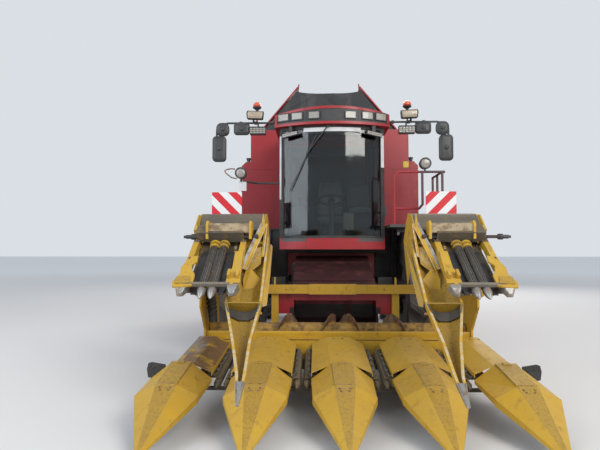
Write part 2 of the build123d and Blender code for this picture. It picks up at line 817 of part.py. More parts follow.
def cab_roof():
    """The roof with its arched top and the recess for the dark band across its front."""
    solid = roof_block(0, (glass_top, roof_top)) & roof_crown(0)
    solid = solid - cab_block(post, (glass_top - 10, glass_top + 120))
    return solid - roof_band(-50, fascia_depth, fascia_half, 0)


def roof_fascia():
    """The dark band in the roof's recess."""
    back = fascia_depth - seat_gap
    return roof_band(back - fascia_sheet, back, fascia_half - seat_gap, seat_gap)


parts["cab_shell"] = cab_shell() + cab_hinges(False)
parts["cab_glass"] = cab_glass()
parts["cab_door"] = cab_door()
parts["door_glass"] = door_glass()
parts["cab_roof"] = cab_roof()
parts["roof_fascia"] = roof_fascia()


def seat():
    base = slab((-180, 180), (250, 600), (cab_floor, cab_floor + 300))
    cushion = slab((-260, 260), (150, 660), (cab_floor + 300, cab_floor + 430))
    profile = [(560, 430), (680, 430), (800, 1080), (690, 1080)]
    back = side_prism([(y, cab_floor + z) for y, z in profile], (-250, 250))
    return base + cushion + back


def steering():
    foot = slab((-70, 70), (-330, -210), (cab_floor, cab_floor + 80))
    column = rod((0, -270, cab_floor + 60), (0, -82, cab_floor + 668), 45, 8)
    wheel_plane = Plane(origin=(0, -85, cab_floor + 655), z_dir=(0, 180, 580))
    wheel = extrude(wheel_plane * (Circle(205) - Circle(180)), amount=24)
    spokes = extrude(wheel_plane * Rectangle(380, 40), amount=16)
    return joined([foot, column, wheel, spokes])


def console():
    """The control console beside the seat."""
    profile = [(150, 0), (700, 0), (700, 620), (150, 560)]
    return side_prism([(y, cab_floor + z) for y, z in profile], (-680, -400))


parts["seat"] = seat()
parts["steering_column"] = steering()
parts["console"] = console()


def platform():
    """The walkway beside the cab and the ladder in front of the tyre."""
    solid = slab((cab_half + 30, body_half), (deck_front, tank_front), (deck_z - deck_sheet, deck_z))
    stile = [(deck_front, deck_z), (deck_front + 30, deck_z - 60), (-1020, 460), (-1100, 460)]
    for x in (ladder_x[0], ladder_x[1] - 30):
        solid = solid + side_prism(stile, (x, x + 30))
    solid = solid + slab(ladder_x, (deck_front - 60, deck_front + 5), (deck_z - deck_sheet, deck_z))
    for z in (500, 780, 1060, 1340, 1620):
        y = -1060 + (z - 460) * 0.17
        solid = solid + slab(ladder_x, (y - 45, y + 40), (z, z + 25))
    return solid


def cab_support():
    """The cross beams that carry the cab, with posts up to the walkway on the left."""
    z = (sill_bottom - 60, sill_bottom)
    solid = slab((-cab_half, cab_half + 80), (body_front + 10, body_front + 90), z)
    solid = solid + slab((-cab_half, cab_half + 80), (850, 930), z)
    for y in (body_front + 10, 850):
        solid = solid + slab((cab_half + 40, cab_half + 80), (y, y + 80), (z[0], deck_z - deck_sheet))
    return solid


parts["platform"] = platform() + cab_support()


def handrails():
    """The arch across the front of the walkway and the rail along its outer edge."""
    outer_x = body_half - 20
    inner_x = cab_half + 100
    mid_z = deck_z + 234
    rails = [
        rail([(inner_x, rail_y, deck_z), (inner_x, rail_y, rail_top - 70), (inner_x + 60, rail_y, rail_top),
              (outer_x + 40, rail_y, rail_top)]),
        rail([(inner_x, rail_y, mid_z), (1260, rail_y, mid_z), (1310, rail_y, mid_z + 60),
              (1310, rail_y, rail_top)]),
    ]
    for y in (rail_y, rail_y + 320, rail_y + 630):
        rails.append(rail([(outer_x, y, deck_z), (outer_x, y, rail_top)]))
    rails.append(rail([(outer_x, rail_y - 17, rail_top), (outer_x, rail_y + 647, rail_top)]))
    return joined(rails)


parts["handrails"] = handrails()


def rounded_plate(x, y, z, corner):
    """An upright plate facing forwards with chamfered corners."""
    points = [
        (x[0] + corner, z[0]), (x[1] - corner, z[0]), (x[1], z[0] + corner), (x[1], z[1] - corner),
        (x[1] - corner, z[1]), (x[0] + corner, z[1]), (x[0], z[1] - corner), (x[0], z[0] + corner),
    ]
    return front_prism(points, y)


def mirror_arm():
    """The left arm with its two small mirrors and the large one at its end."""
    arm = rail([(roof_half, arm_y, arm_z), (arm_end - 170, arm_y, arm_z), (arm_end - 50, arm_y, arm_z - 30),
                (arm_end, arm_y, arm_z - 110), (arm_end, arm_y, arm_z - 360)], arm_radius)
    small = rounded_plate((1268, 1496), (arm_y - 40, arm_y - 8), (arm_z - 184, arm_z - 10), 28)
    outer = rounded_plate((arm_end - 190, arm_end - 4), (arm_y - 44, arm_y - 8), (arm_z - 200, arm_z - 8), 55)
    large_z = (arm_z - 597, arm_z - 214)
    large = rounded_plate((arm_end - 145, arm_end + 52), (arm_y - 48, arm_y - 8), large_z, 32)
    return joined([arm, small, outer, large])


parts["mirrors"] = Compound([mirror_arm(), mirrored(mirror_arm())])


def beacon():
    """A domed beacon on its stem above the left arm."""
    stem = rod((stem_x, arm_y, arm_z + arm_radius), (stem_x, arm_y, 3712), 14, 8)
    rings = []
    # height, radius
    for z, radius in ((3704, 30), (3744, 64), (3770, 60), (3794, 44), (3808, 16)):
        rings.append(Plane(origin=(stem_x, arm_y, z)) * RegularPolygon(radius, 14))
    return stem + loft(rings, ruled=True)


parts["beacons"] = Compound([beacon(), mirrored(beacon())])


def arm_lamps():
    """Two work lamps on the left arm, one standing above it and one hanging below."""
    upper = front_prism([(1050, 3535), (1062, 3520), (1286, 3528), (1296, 3610), (1280, 3645), (1040, 3630)],
                        (arm_y - 100, arm_y - 20))
    foot = slab((1190, 1214), (arm_y - 30, arm_y + 14), (arm_z + arm_radius, 3540))
    lower = slab((1013, 1253), (arm_y - 70, arm_y + 10), (3292, 3410))
    hanger = slab((1120, 1144), (arm_y - 14, arm_y + 10), (3400, arm_z - arm_radius))
    return [upper + foot, lower + hanger]


def fascia_lamps():
    """Six square lamps on the roof's dark band and two bars hanging under its front edge."""
    face = fascia_depth - seat_gap - fascia_sheet - seat_gap
    strip = roof_band(face - 10, face, fascia_half, 20)
    lamps = []
    for x in (273, 530, 740):
        for side in (-1, 1):
            middle = side * x
            lamps.append(strip & slab((middle - 84, middle + 84), (roof_front - 50, 0), (3478, 3590)))
    for side in (-1, 1):
        y = roof_front + 135
        bar = Pos(side * 625, y, 3264) * Rot(0, 0, side * 22) * Rot(0, side * 8, 0) * Box(256, 60, 56)
        hanger = slab(sorted((side * 600, side * 650)), (y + 5, y + 25), (3270, glass_top - seat_gap))
        lamps.append(bar + hanger)
    return lamps


def rail_lamps():
    """The round lamp on the walkway's rail and its fellow on a bent tube right of the cab."""
    x = 1350
    z = rail_top + 120
    left = rod((x, rail_y - 45, z), (x, rail_y + 45, z), 80, 16)
    left = left + rod((x, rail_y, rail_top + rail_radius), (x, rail_y, z - 70), 12, 6)
    z = rail_top - 10
    right = rod((-x, rail_y - 45, z), (-x, rail_y + 45, z), 80, 16)
    right = right + rod((-x, rail_y, z - 110), (-x, rail_y, z - 70), 12, 6)
    tube = rail([(-cab_half - 6, cab_door_y[0] - 15, z - 110), (-1150, cab_door_y[0] - 60, z - 110),
                 (-x, rail_y, z - 110), (-x, rail_y - 30, z - 110)], 14)
    plate_y = (cab_door_y[0] - 28, cab_door_y[0] - 2)
    plate = slab((-cab_half - 12, -cab_half), plate_y, (z - 140, z - 80))
    return [left, right + tube + plate]


def shoulder_domes():
    """The small dark domes on the tank's shoulders."""
    domes = []
    for side in (-1, 1):
        x = side * (tank_top_half + 44)
        y = tank_front + 46
        neck = rod((x, y, shoulder_z), (x, y, shoulder_z + 45), 32, 12)
        domes.append(neck + rod((x, y, shoulder_z + 45), (x, y, shoulder_z + 78), 43, 12))
    return domes


left_lamps = arm_lamps()
parts["lamps"] = Compound(
    left_lamps + [mirrored(lamp) for lamp in left_lamps] + fascia_lamps() + rail_lamps() + shoulder_domes())


def warning_boards():
    boards = []
    for side in (-1, 1):
        board = slab(sorted((side * 1290, side * 1715)), (-1062, -1050), (deck_z, 2345))
        arm_x = sorted((side * 1400, side * 1440))
        if side > 0:
            arm = slab(arm_x, (-1050, deck_front - 60), (deck_z - deck_sheet, deck_z))
            arm = arm + slab(arm_x, (-1062, -1050), (deck_z - deck_sheet, deck_z + 20))
        else:
            arm = slab(arm_x, (-1050, tank_front + wall_lap), (1960, 2000))
        boards.append(board + arm)
    return Compound(boards)


parts["warning_boards"] = warning_boards()


def tilt(y):
    """Height of the fold plane at a length y."""
    return fold_z + (y - fold_y) * tan(radians(fold_slope))


fold_axis = Axis((fold_x, fold_y, fold_z), (0, cos(radians(fold_slope)), sin(radians(fold_slope))))


def fold_point(along):
    """A point on the left fold axis, a distance rearwards of its reference point."""
    return (fold_x, fold_y + along * cos(radians(fold_slope)), fold_z + along * sin(radians(fold_slope)))


def folded(solid):
    return solid.rotate(fold_axis, 180)


def feeder():
    """The sloping elevator housing with its mouth, side arms and the ears for the lift rods."""
    front = feeder_front
    top = feeder_top_front
    low = top - feeder_depth
    outer = side_prism(
        [(feeder_rear, feeder_top_rear), (front, top), (front, low - 60),
         (feeder_rear, feeder_top_rear - feeder_depth + 50)],
        (-feeder_half, feeder_half))
    mouth = side_prism(
        [(front - 40, top - 90), (front + 400, top + 50), (front + 400, low + 110), (front - 40, low - 30)],
        (-feeder_half + 30, feeder_half - 30))
    face = slab((-760, 760), (front - 30, front), (top - 260, top))
    solid = outer - mouth + (face - mouth)
    arm_profile = [
        (feeder_rear + 40, lift_z - 90), (lift_y + 60, lift_z - 60), (lift_y + 60, lift_z + 60),
        (feeder_rear + 40, lift_z + 90), (feeder_rear - 300, lift_z + 90), (feeder_rear - 300, lift_z - 90),
    ]
    pin_y, pin_z = ram_pin
    ear_profile = [
        (pin_y - 60, pin_z - 30), (pin_y + 60, pin_z - 30),
        (pin_y + 160, pin_z + 190), (pin_y - 160, pin_z + 190),
    ]
    for side in (-1, 1):
        arm = side_prism(arm_profile, sorted((side * feeder_half, side * (feeder_half + 30))))
        ends = [(side * (feeder_half + reach), lift_y, lift_z) for reach in (0, 40)]
        arm = arm - rod(ends[0], ends[1], lift_pin + running_gap)
        x = side * ram_x
        ear = side_prism(ear_profile, (x - 58, x + 58))
        slot = slab((x - 34, x + 34), (pin_y - 260, pin_y + 260), (pin_z - 90, pin_z + 110))
        pin = rod((x - 58, pin_y, pin_z), (x + 58, pin_y, pin_z), 16)
        solid = solid + arm + (ear - slot - outer) + pin
    # pressed ribs across the top, square to its slope
    slope = atan2(feeder_top_rear - top, feeder_rear - front)
    for share in (0.3, 0.55, 0.8):
        y = front + share * (feeder_rear - front)
        z = top + share * (feeder_top_rear - top)
        rib = Pos(0, y, z) * Rot(degrees(slope), 0, 0) * Box(2 * feeder_half, 50, 2 * swage_height)
        solid = solid + rib
    return solid


parts["feeder_house"] = feeder()


def ram_direction():
    run = (ram_pin[0] - ram_base[0], ram_pin[1] - ram_base[1])
    length = hypot(*run)
    return run[0] / length, run[1] / length, length


def ram_point(side, along):
    dy, dz, length = ram_direction()
    return (side * ram_x, ram_base[0] + dy * along, ram_base[1] + dz * along)


def lift_barrels():
    solids = []
    for side in (-1, 1):
        tube = rod(ram_point(side, 90), ram_point(side, 660), ram_radius)
        neck = rod(ram_point(side, 20), ram_point(side, 95), 28)
        tube = tube - rod(ram_point(side, 120), ram_point(side, 700), rod_radius + running_gap)
        eye = rod((side * ram_x - 30, *ram_base), (side * ram_x + 30, *ram_base), 45)
        bore = rod((side * ram_x - 40, *ram_base), (side * ram_x + 40, *ram_base), 20 + running_gap)
        solids.append(tube + neck + eye - bore)
    return Compound(solids)


def lift_rods():
    dy, dz, length = ram_direction()
    solids = []
    for side in (-1, 1):
        shaft = rod(ram_point(side, 260), ram_point(side, length - 30), rod_radius)
        eye = rod((side * ram_x - 28, *ram_pin), (side * ram_x + 28, *ram_pin), 48)
        hole = rod((side * ram_x - 40, *ram_pin), (side * ram_x + 40, *ram_pin), 30)
        solids.append((shaft + eye) - hole)
    return Compound(solids)


parts["lift_barrels"] = lift_barrels()
parts["lift_rods"] = lift_rods()


def hood_top(y):
    """Height of a hood's ridge at a length y."""
    share = (y - snout_rear) / (hood_rear_y - snout_rear)
    return hood_front_top + (hood_rear_top - hood_front_top) * share


def toolbar(x, dividers):
    """The square bar under the trough's lip that carries the row units, with a foot under each hood."""
    z = auger_z - 250
    solid = slab(x, (toolbar_front + 12, toolbar_front + 80), (z, z + 90))
    solid = solid + slab(x, (toolbar_front, toolbar_front + 12), (z, z + 170))
    for place in dividers:
        foot = hood_rear_y - 30
        top = hood_top(foot) - hood_sheet - seat_gap
        reach = (max(place - 35, x[0]), min(place + 35, x[1]))
        solid = solid + slab(reach, (foot, toolbar_front + 12), (z + 158, z + 170))
        solid = solid + slab(reach, (foot, foot + 10), (z + 158, top - 1))
    return solid


def trough(x):
    """The auger trough between two x values, a sheet bent in many flats and open at the top."""
    ring = rod((x[0], auger_y, auger_z), (x[1], auger_y, auger_z), trough_radius + plate, trough_sides)
    ring = ring - rod((x[0] - 5, auger_y, auger_z), (x[1] + 5, auger_y, auger_z), trough_radius, trough_sides)
    top = slab((x[0] - 5, x[1] + 5), (auger_y - 400, auger_y + 400), (auger_z + 20, auger_z + 400))
    return ring - top


centre_dividers = [row_spacing * (k - (divider_count - 1) / 2) for k in range(divider_count)]
end_profile = [
    (auger_y - 250, auger_z - 250), (header_rear, auger_z - 250), (header_rear, beam_top),
    (-2000, tilt(-2000) - 60), (-2640, tilt(-2640) - 60), (-2640, 900), (auger_y - 250, auger_z + 45),
]
# spans along the fold axis from its reference point: centre knuckles, wing knuckles
centre_knuckles = ((-120, -20), (180, 280), (480, 560))
wing_knuckles = ((-12, 172), (288, 472))


def knuckle_row(spans, radius, bore):
    solids = []
    for low, high in spans:
        sleeve = rod(fold_point(low), fold_point(high), radius)
        if bore:
            sleeve = sleeve - rod(fold_point(low - 5), fold_point(high + 5), bore)
        solids.append(sleeve)
    return solids


def knuckle_tab(span, x):
    """A tab of plate that carries a knuckle, from the end plate's edge to the fold axis."""
    low = fold_point(span[0])
    high = fold_point(span[1])
    drop = 80
    return side_prism(
        [(low[1], low[2] - drop), (high[1], high[2] - drop), (high[1], high[2] + 8), (low[1], low[2] + 8)], x)


def centre_end():
    x = (trough_half, trough_half + 22)
    solid = side_prism(end_profile, x)
    for span in centre_knuckles:
        solid = solid + knuckle_tab(span, x)
    for sleeve in knuckle_row(centre_knuckles, knuckle_radius, 0):
        solid = solid + sleeve
    solid = solid + rod(fold_point(-119), fold_point(559), fold_pin_radius)
    bore_radius = stub_radius + running_gap
    return solid - rod((x[0] - 1, auger_y, auger_z), (x[1] + 1, auger_y, auger_z), bore_radius)


def lifting_eye(x):
    """A drilled plate that stands on the beam above a post."""
    middle = header_back + beam_size / 2
    plate_solid = side_prism(
        [(middle - 45, beam_top - 5), (middle + 45, beam_top - 5), (middle + 24, beam_top + 95),
         (middle - 24, beam_top + 95)], (x - 8, x + 8))
    return plate_solid - rod((x - 9, middle, beam_top + 62), (x + 9, middle, beam_top + 62), 20, 12)


def header_frame():
    """The back frame: square beam, posts, lower bar, row bar and the two end plates."""
    span = (-trough_half, trough_half)
    low = auger_z - 250
    beam = slab(span, (header_back, header_back + beam_size), (beam_top - beam_size, beam_top))
    sleeve = slab((-330, 270), (header_back - 8, header_rear), (beam_top - beam_size - 8, beam_top + 8))
    lower = slab(span, (header_rear - 60, header_rear), (low, low + 120))
    solid = beam + sleeve + lower + toolbar(span, centre_dividers)
    for side in (-1, 1):
        x = side * post_x
        column = slab((x - 45, x + 45), (header_rear - 60, header_rear), (low, beam_top - 50))
        bracket = slab((x - 30, x + 30), (auger_y + 150, header_rear - 50), (low + 20, low + 80))
        gusset = side_prism(
            [(header_rear - 55, low + 115), (header_rear - 55, low + 330), (header_rear - 85, low + 200),
             (header_rear - 150, low + 115)], (x - 8, x + 8))
        solid = solid + column + bracket + gusset + lifting_eye(x)
    solid = solid + centre_end() + mirrored(centre_end())
    around = trough_radius + plate + seat_gap * 1.01
    room = rod((span[0], auger_y, auger_z), (span[1], auger_y, auger_z), around, trough_sides)
    return solid - room


parts["header_frame"] = header_frame()


def centre_trough():
    sheet_solid = trough((-trough_half + seat_gap, trough_half - seat_gap))
    throat = slab((-700, 700), (auger_y + 120, auger_y + 400), (auger_z - 60, auger_z + 100))
    toe_y = (toolbar_front, auger_y - trough_radius + 5)
    toe = slab((-trough_half + seat_gap, trough_half - seat_gap), toe_y, (auger_z - 70, auger_z - 60))
    return sheet_solid - throat + toe


parts["header_trough"] = centre_trough()


def flight(x0, x1, hand, start=0):
    """A helical flight of flat facets, with hand +1 or -1."""
    steps_per_turn = 12
    count = round(abs(x1 - x0) / auger_pitch * steps_per_turn)
    thick = 6
    points = []
    for k in range(count + 1):
        angle = radians(start + hand * 360 * k / steps_per_turn)
        x = x0 + (x1 - x0) * k / count
        for radius in (core_radius - 6, auger_radius):
            for offset in (-thick / 2, thick / 2):
                points.append((x + offset, auger_y + radius * cos(angle), auger_z + radius * sin(angle)))
    faces = [(0, 1, 3, 2), (4 * count, 4 * count + 2, 4 * count + 3, 4 * count + 1)]
    pairs = ((0, 2), (2, 3), (3, 1), (1, 0))
    for k in range(count):
        for a, b in pairs:
            faces.append((4 * k + a, 4 * k + b, 4 * k + 4 + b))
            faces.append((4 * k + a, 4 * k + 4 + b, 4 * k + 4 + a))
    return faceted(points, faces)


def auger(x, hand):
    core = rod((x[0], auger_y, auger_z), (x[1], auger_y, auger_z), core_radius, 16)
    return core, flight(x[0] + 10, x[1] - 10, hand)


def stubs(ends):
    return rod((ends[0], auger_y, auger_z), (ends[1], auger_y, auger_z), stub_radius)


auger_end = trough_half - 12
core_left, flight_left = auger((0, auger_end), 1)
core_right, flight_right = auger((-auger_end, 0), -1)
stub_end = trough_half + 18
parts["header_auger"] = core_left + core_right + flight_left + flight_right + stubs((-stub_end, stub_end))


def stalk_roll(length):
    """A roll along Z with a pointed tip."""
    rings = [Plane(origin=(0, 0, z)) * RegularPolygon(radius, 10) for z, radius in (
        (100, 36), (length - 20, 36), (length + 60, 8))]
    return loft(rings, ruled=True)


def row_unit(x):
    """One row: two arms, two stalk rolls under two plates, and a gearbox, sloping down forwards."""
    slope = radians(arm_slope)
    rear = toolbar_front - 20
    length = (rear - arm_front) / cos(slope)
    plane = Plane(origin=(x, rear, arm_rear_z), x_dir=(1, 0, 0), z_dir=(0, -cos(slope), -sin(slope)))

    def block(across, up, along, size):
        return plane.location * Pos(across, up, along) * Box(*size)

    pieces = []
    for side in (-1, 1):
        pieces.append(block(side * arm_offset, 0, length / 2 - 20, (arm_width, arm_height, length + 40)))
        pieces.append(block(side * 115, 50, length / 2, (172, 6, length - 130)))
        pieces.append(block(side * 190, 44, length - 110, (50, 14, 60)))
        pieces.append(block(side * 190, 44, 150, (50, 14, 60)))
        pieces.append(plane.location * Pos(side * 47, 2, 0) * stalk_roll(length))
    pieces.append(block(0, -76, 110, (2 * arm_offset, 110, 150)))
    pieces.append(block(0, -50, length - 60, (2 * arm_offset, 30, 30)))
    behind = slab((x - 400, x + 400), (toolbar_front, toolbar_front + 200), (0, 900))
    return joined(pieces) - behind


row_places = [row_spacing * (k - (divider_count - 2) / 2) for k in range(divider_count - 1)]
wing_row = row_spacing * divider_count / 2
wing_divider = row_spacing * (divider_count + 1) / 2
parts["row_units"] = Compound([row_unit(x) for x in row_places])


def snout(x):
    """A pointed divider of folded sheet in three tapers, hollow underneath."""
    # length, half width of the flat top, half width, heights of top, side edge and bottom
    stations = (
        (snout_rear, hood_front_flat, divider_half, 460, 385, 330),
        (-3950, 88, 268, 385, 300, 240),
        (-4400, 42, 150, 220, 150, 100),
    )

    def skin(inset):
        points = []
        for number, (y, flat, half, top, side, bottom) in enumerate(stations):
            y = y + (20 if inset and number == 0 else 0)
            flat = flat - inset / 2
            half = half - inset
            top = top - inset
            side = side - inset / 2
            bottom = bottom - 3 * inset
            points += [(x - flat, y, top), (x + flat, y, top), (x + half, y, side),
                       (x + half, y, bottom), (x - half, y, bottom), (x - half, y, side)]
        tip = snout_tip + 6 * inset
        return points + [(x, tip, 62 - inset / 2), (x, tip, 40 - 3 * inset)]

    faces = [(0, 5, 4, 3, 2, 1)]
    for a in (0, 6):
        b = a + 6
        faces += [(a, a + 1, b + 1, b), (a + 2, a + 3, b + 3, b + 2), (a + 3, a + 4, b + 4, b + 3)]
        faces += [(a + 4, a + 5, b + 5, b + 4), (a + 1, a + 2, b + 1), (a + 2, b + 2, b + 1)]
        faces += [(a + 5, a, b), (a + 5, b, b + 5)]
    faces += [(12, 13, 18), (13, 14, 18), (14, 15, 19, 18), (15, 16, 19), (16, 17, 18, 19), (17, 12, 18)]
    panel = side_prism(
        [(snout_rear - 20, 450), (snout_rear - 20, 464), (-3950, 389), (-3950, 378)], (x - 74, x + 74))
    return faceted(skin(0), faces) + panel - faceted(skin(10), faces)


snouts = [snout(x) for x in centre_dividers]
latch = slab((-35, 35), (snout_rear - 70, snout_rear - 8), (446, 484))
snouts[divider_count // 2] = snouts[divider_count // 2] + latch
parts["snouts"] = Compound(snouts)


def hood(x, left=divider_half, right=divider_half):
    """The fixed cover behind a snout, a folded channel open below."""
    ends = (
        (snout_rear + seat_gap, hood_front_flat, hood_front_top),
        (hood_rear_y, hood_rear_flat, hood_rear_top),
    )

    def skin(inset, over):
        points = []
        for step, (y, flat, top) in zip((-over, over), ends):
            y = y + step
            top = top - inset
            edge = top - hood_fold
            low = top - hood_skirt - inset
            flat_left = min(flat, left - 20)
            flat_right = min(flat, right - 20)
            points += [(x - flat_left, y, top), (x + flat_right, y, top), (x + right - inset, y, edge),
                       (x + right - inset, y, low), (x - left + inset, y, low), (x - left + inset, y, edge)]
        return points

    # the two slopes twist a little, so each is two triangles
    faces = [(0, 5, 4, 3, 2, 1), (6, 7, 8, 9, 10, 11), (0, 1, 7, 6), (2, 3, 9, 8), (3, 4, 10, 9),
             (4, 5, 11, 10), (1, 2, 7), (2, 8, 7), (5, 0, 6), (5, 6, 11)]
    return faceted(skin(0, 0), faces) - faceted(skin(hood_sheet, 5), faces)


hoods = []
for k, place in enumerate(centre_dividers):
    left_half = 85 if k == 0 else divider_half
    right_half = 85 if k == divider_count - 1 else divider_half
    hoods.append(hood(place, left_half, right_half))
parts["hoods"] = Compound(hoods)


def wing_trough():
    """The wing's trough between its inner plate, hinged to the centre, and its outer plate."""
    inner_x = fold_x + 15
    outer_x = wing_divider + 40
    outer_profile = [
        (end_front, auger_z - 250), (auger_y + 20, auger_z - 250), (auger_y + 190, auger_z - 140),
        (auger_y + 235, auger_z + 20), (auger_y + 225, auger_z + 290), (end_front, guard_top),
    ]
    back_y = (auger_y + trough_radius - 5, auger_y + trough_radius + 15)
    solid = trough((inner_x, outer_x)) + side_prism(end_profile, (inner_x, inner_x + 15))
    solid = solid + side_prism(outer_profile, (outer_x, outer_x + 12))
    solid = solid + slab((inner_x, outer_x), back_y, (auger_z, auger_z + 240))
    solid = solid + toolbar((inner_x, outer_x + 12), [wing_divider])
    for span in wing_knuckles:
        solid = solid + knuckle_tab((span[0] + 6, span[1] - 6), (inner_x, inner_x + 15))
    for low, high in wing_knuckles:
        solid = solid + rod(fold_point(low + 6), fold_point(high - 6), knuckle_radius)
    bore = rod(fold_point(-400), fold_point(900), fold_pin_radius + running_gap)
    shaft = rod((inner_x - 1, auger_y, auger_z), (outer_x + 13, auger_y, auger_z), stub_radius + running_gap)
    solid = solid - bore - shaft
    for low, high in centre_knuckles:
        solid = solid - rod(fold_point(low - 6), fold_point(high + 6), knuckle_radius + moving_gap)
    return solid


def crop_guard():
    """The tall three-cornered plate on the outer divider, leaning outwards, with a raised panel."""
    rear = Vector(wing_divider + 90, hood_rear_y, hood_rear_top - 3)
    front = Vector(wing_divider + 60, snout_rear + 30, hood_front_top - 1)
    top = Vector(wing_divider + 180, hood_rear_y, guard_top)
    out = (top - rear).cross(front - rear).normalized()
    if out.X < 0:
        out = -out
    sheet_out = out * guard_sheet
    corners = [rear, front, top, rear + sheet_out, front + sheet_out, top + sheet_out]
    prism_faces = [(0, 1, 2), (3, 5, 4), (0, 3, 4, 1), (1, 4, 5, 2), (2, 5, 3, 0)]
    solid = faceted([tuple(corner) for corner in corners], prism_faces)
    middle = (rear + front + top) * (1 / 3)
    base = [middle + (corner - middle) * 0.82 + out * (guard_sheet - 1) for corner in (rear, front, top)]
    peak = middle + out * 42
    pyramid = [tuple(corner) for corner in base + [peak]]
    solid = solid + faceted(pyramid, [(0, 1, 2), (0, 3, 1), (1, 3, 2), (2, 3, 0)])
    # a small plate behind it that closes the corner towards the end plate
    filler = [(wing_divider + 46, hood_rear_top - 4), (wing_divider + 92, hood_rear_top - 4),
              (wing_divider + 182, guard_top), (wing_divider + 46, guard_top)]
    return solid + front_prism(filler, (hood_rear_y - 6, hood_rear_y))


def wing_auger():
    x = (fold_x + 40, wing_divider + 28)
    core = rod((x[0], auger_y, auger_z), (x[1], auger_y, auger_z), core_radius, 16)
    return core + flight(x[0] + 10, x[1] - 10, 1) + stubs((fold_x + 18, wing_divider + 50))


wing = {
    "trough": wing_trough(),
    "row_unit": row_unit(wing_row),
    "auger": wing_auger(),
    "divider": Compound([hood(wing_divider) + crop_guard(), snout(wing_divider)]),
}
for name, solid in wing.items():
    parts["wing_" + name + "_left"] = folded(solid)
    parts["wing_" + name + "_right"] = mirrored(folded(solid))

boxes = [solid.bounding_box() for solid in parts.values()]
front_end = min(b.min.Y for b in boxes)
rear_end = max(b.max.Y for b in boxes)
origin = Pos(0, -(front_end + rear_end) / 2, 0)
print("length", rear_end - front_end, "shift", -(front_end + rear_end) / 2)

os.makedirs("parts", exist_ok=True)
for name, solid in parts.items():
    export_step(origin * solid, "parts/" + name + ".step")
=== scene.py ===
import bmesh
import bpy
import math
from mathutils import Matrix, Vector


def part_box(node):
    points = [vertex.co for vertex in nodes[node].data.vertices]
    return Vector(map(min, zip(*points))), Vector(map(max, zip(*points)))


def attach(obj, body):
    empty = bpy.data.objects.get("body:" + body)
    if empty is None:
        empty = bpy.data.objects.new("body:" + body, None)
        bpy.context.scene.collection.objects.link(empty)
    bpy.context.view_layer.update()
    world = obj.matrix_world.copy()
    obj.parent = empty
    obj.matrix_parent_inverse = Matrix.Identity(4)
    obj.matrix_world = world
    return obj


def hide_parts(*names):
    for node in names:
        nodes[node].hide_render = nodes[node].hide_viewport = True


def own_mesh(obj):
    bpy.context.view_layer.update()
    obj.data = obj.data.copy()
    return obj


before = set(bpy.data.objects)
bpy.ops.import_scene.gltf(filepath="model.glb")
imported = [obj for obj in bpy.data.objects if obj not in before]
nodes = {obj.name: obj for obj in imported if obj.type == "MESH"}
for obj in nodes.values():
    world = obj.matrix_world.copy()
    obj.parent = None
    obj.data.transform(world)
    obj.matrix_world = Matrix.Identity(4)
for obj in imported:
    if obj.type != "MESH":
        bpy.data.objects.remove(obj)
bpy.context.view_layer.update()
print("frame loaded:", len(nodes), "nodes")

# Lengths in metres. Y is counted from mid-length, so a length counted from the front axle adds axleY.
axleY = sum(corner[1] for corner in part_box("front_tyre_left")) / 2


def fromAxle(x, y, z):
    return Vector((x, y + axleY, z))


def addToScene(name, data):
    item = bpy.data.objects.new(name, data)
    bpy.context.scene.collection.objects.link(item)
    return item


# camera, read off the photograph: eye height, a little right of the machine's middle line
camera = {"x": -0.23, "y": -8.35, "height": 1.5, "lens": 31.2, "pitch": 2.97, "yaw": 1.87, "reach": 200}


def makeCamera():
    data = bpy.data.cameras.new("photoCamera")
    data.sensor_width = 36
    data.lens = camera["lens"]
    data.clip_end = camera["reach"]
    item = addToScene("photoCamera", data)
    item.location = fromAxle(camera["x"], camera["y"], camera["height"])
    item.rotation_euler = (math.radians(90 + camera["pitch"]), 0, math.radians(camera["yaw"]))
    bpy.context.scene.camera = item


studio = {
    "ambient": 0.62,
    "ambientColour": (0.80, 0.86, 0.95),
    "backdropColour": (0.70, 0.74, 0.78),
    "floorColour": (0.68, 0.67, 0.66),
    "farColour": (0.97, 0.97, 0.96),
    "farFrom": 9.0, "farTo": 34.0, "floorReach": 160,
    "aim": (0, 0, 1.6),
    # name: place, size, watts, colour
    "lamps": {
        "keyLight": ((7.5, -13.0, 9.0), 7.0, 1500, (1.0, 0.96, 0.90)),
        "fillLight": ((-9.0, -9.0, 6.0), 8.0, 700, (0.90, 0.95, 1.0)),
        "backLight": ((3.0, 12.0, 9.0), 8.0, 900, (1.0, 0.96, 0.92)),
    },
}


def makeStudio():
    world = bpy.data.worlds.new("studioWorld")
    bpy.context.scene.world = world
    world.use_nodes = True
    tree = world.node_tree
    tree.nodes.clear()
    light = addNode(tree, "ShaderNodeBackground",
                    {"Color": rgba(studio["ambientColour"]), "Strength": studio["ambient"]}).outputs[0]
    backdrop = addNode(tree, "ShaderNodeBackground", {"Color": rgba(studio["backdropColour"])}).outputs[0]
    rays = tree.nodes.new("ShaderNodeLightPath").outputs
    seen = mathNode(tree, "MAXIMUM", rays["Is Camera Ray"], rays["Is Glossy Ray"])
    seen = mathNode(tree, "MAXIMUM", seen, rays["Is Transmission Ray"])
    mix = addNode(tree, "ShaderNodeMixShader", {0: seen, 1: light, 2: backdrop}).outputs[0]
    addNode(tree, "ShaderNodeOutputWorld", {"Surface": mix})
    for name, (place, size, watts, colour) in studio["lamps"].items():
        data = bpy.data.lights.new(name, "AREA")
        data.size = size
        data.energy = watts
        data.color = colour
        lamp = addToScene(name, data)
        lamp.location = place
        lamp.rotation_euler = (Vector(studio["aim"]) - Vector(place)).to_track_quat("-Z", "Y").to_euler()
    bpy.context.scene.view_settings.view_transform = "Standard"


# Materials


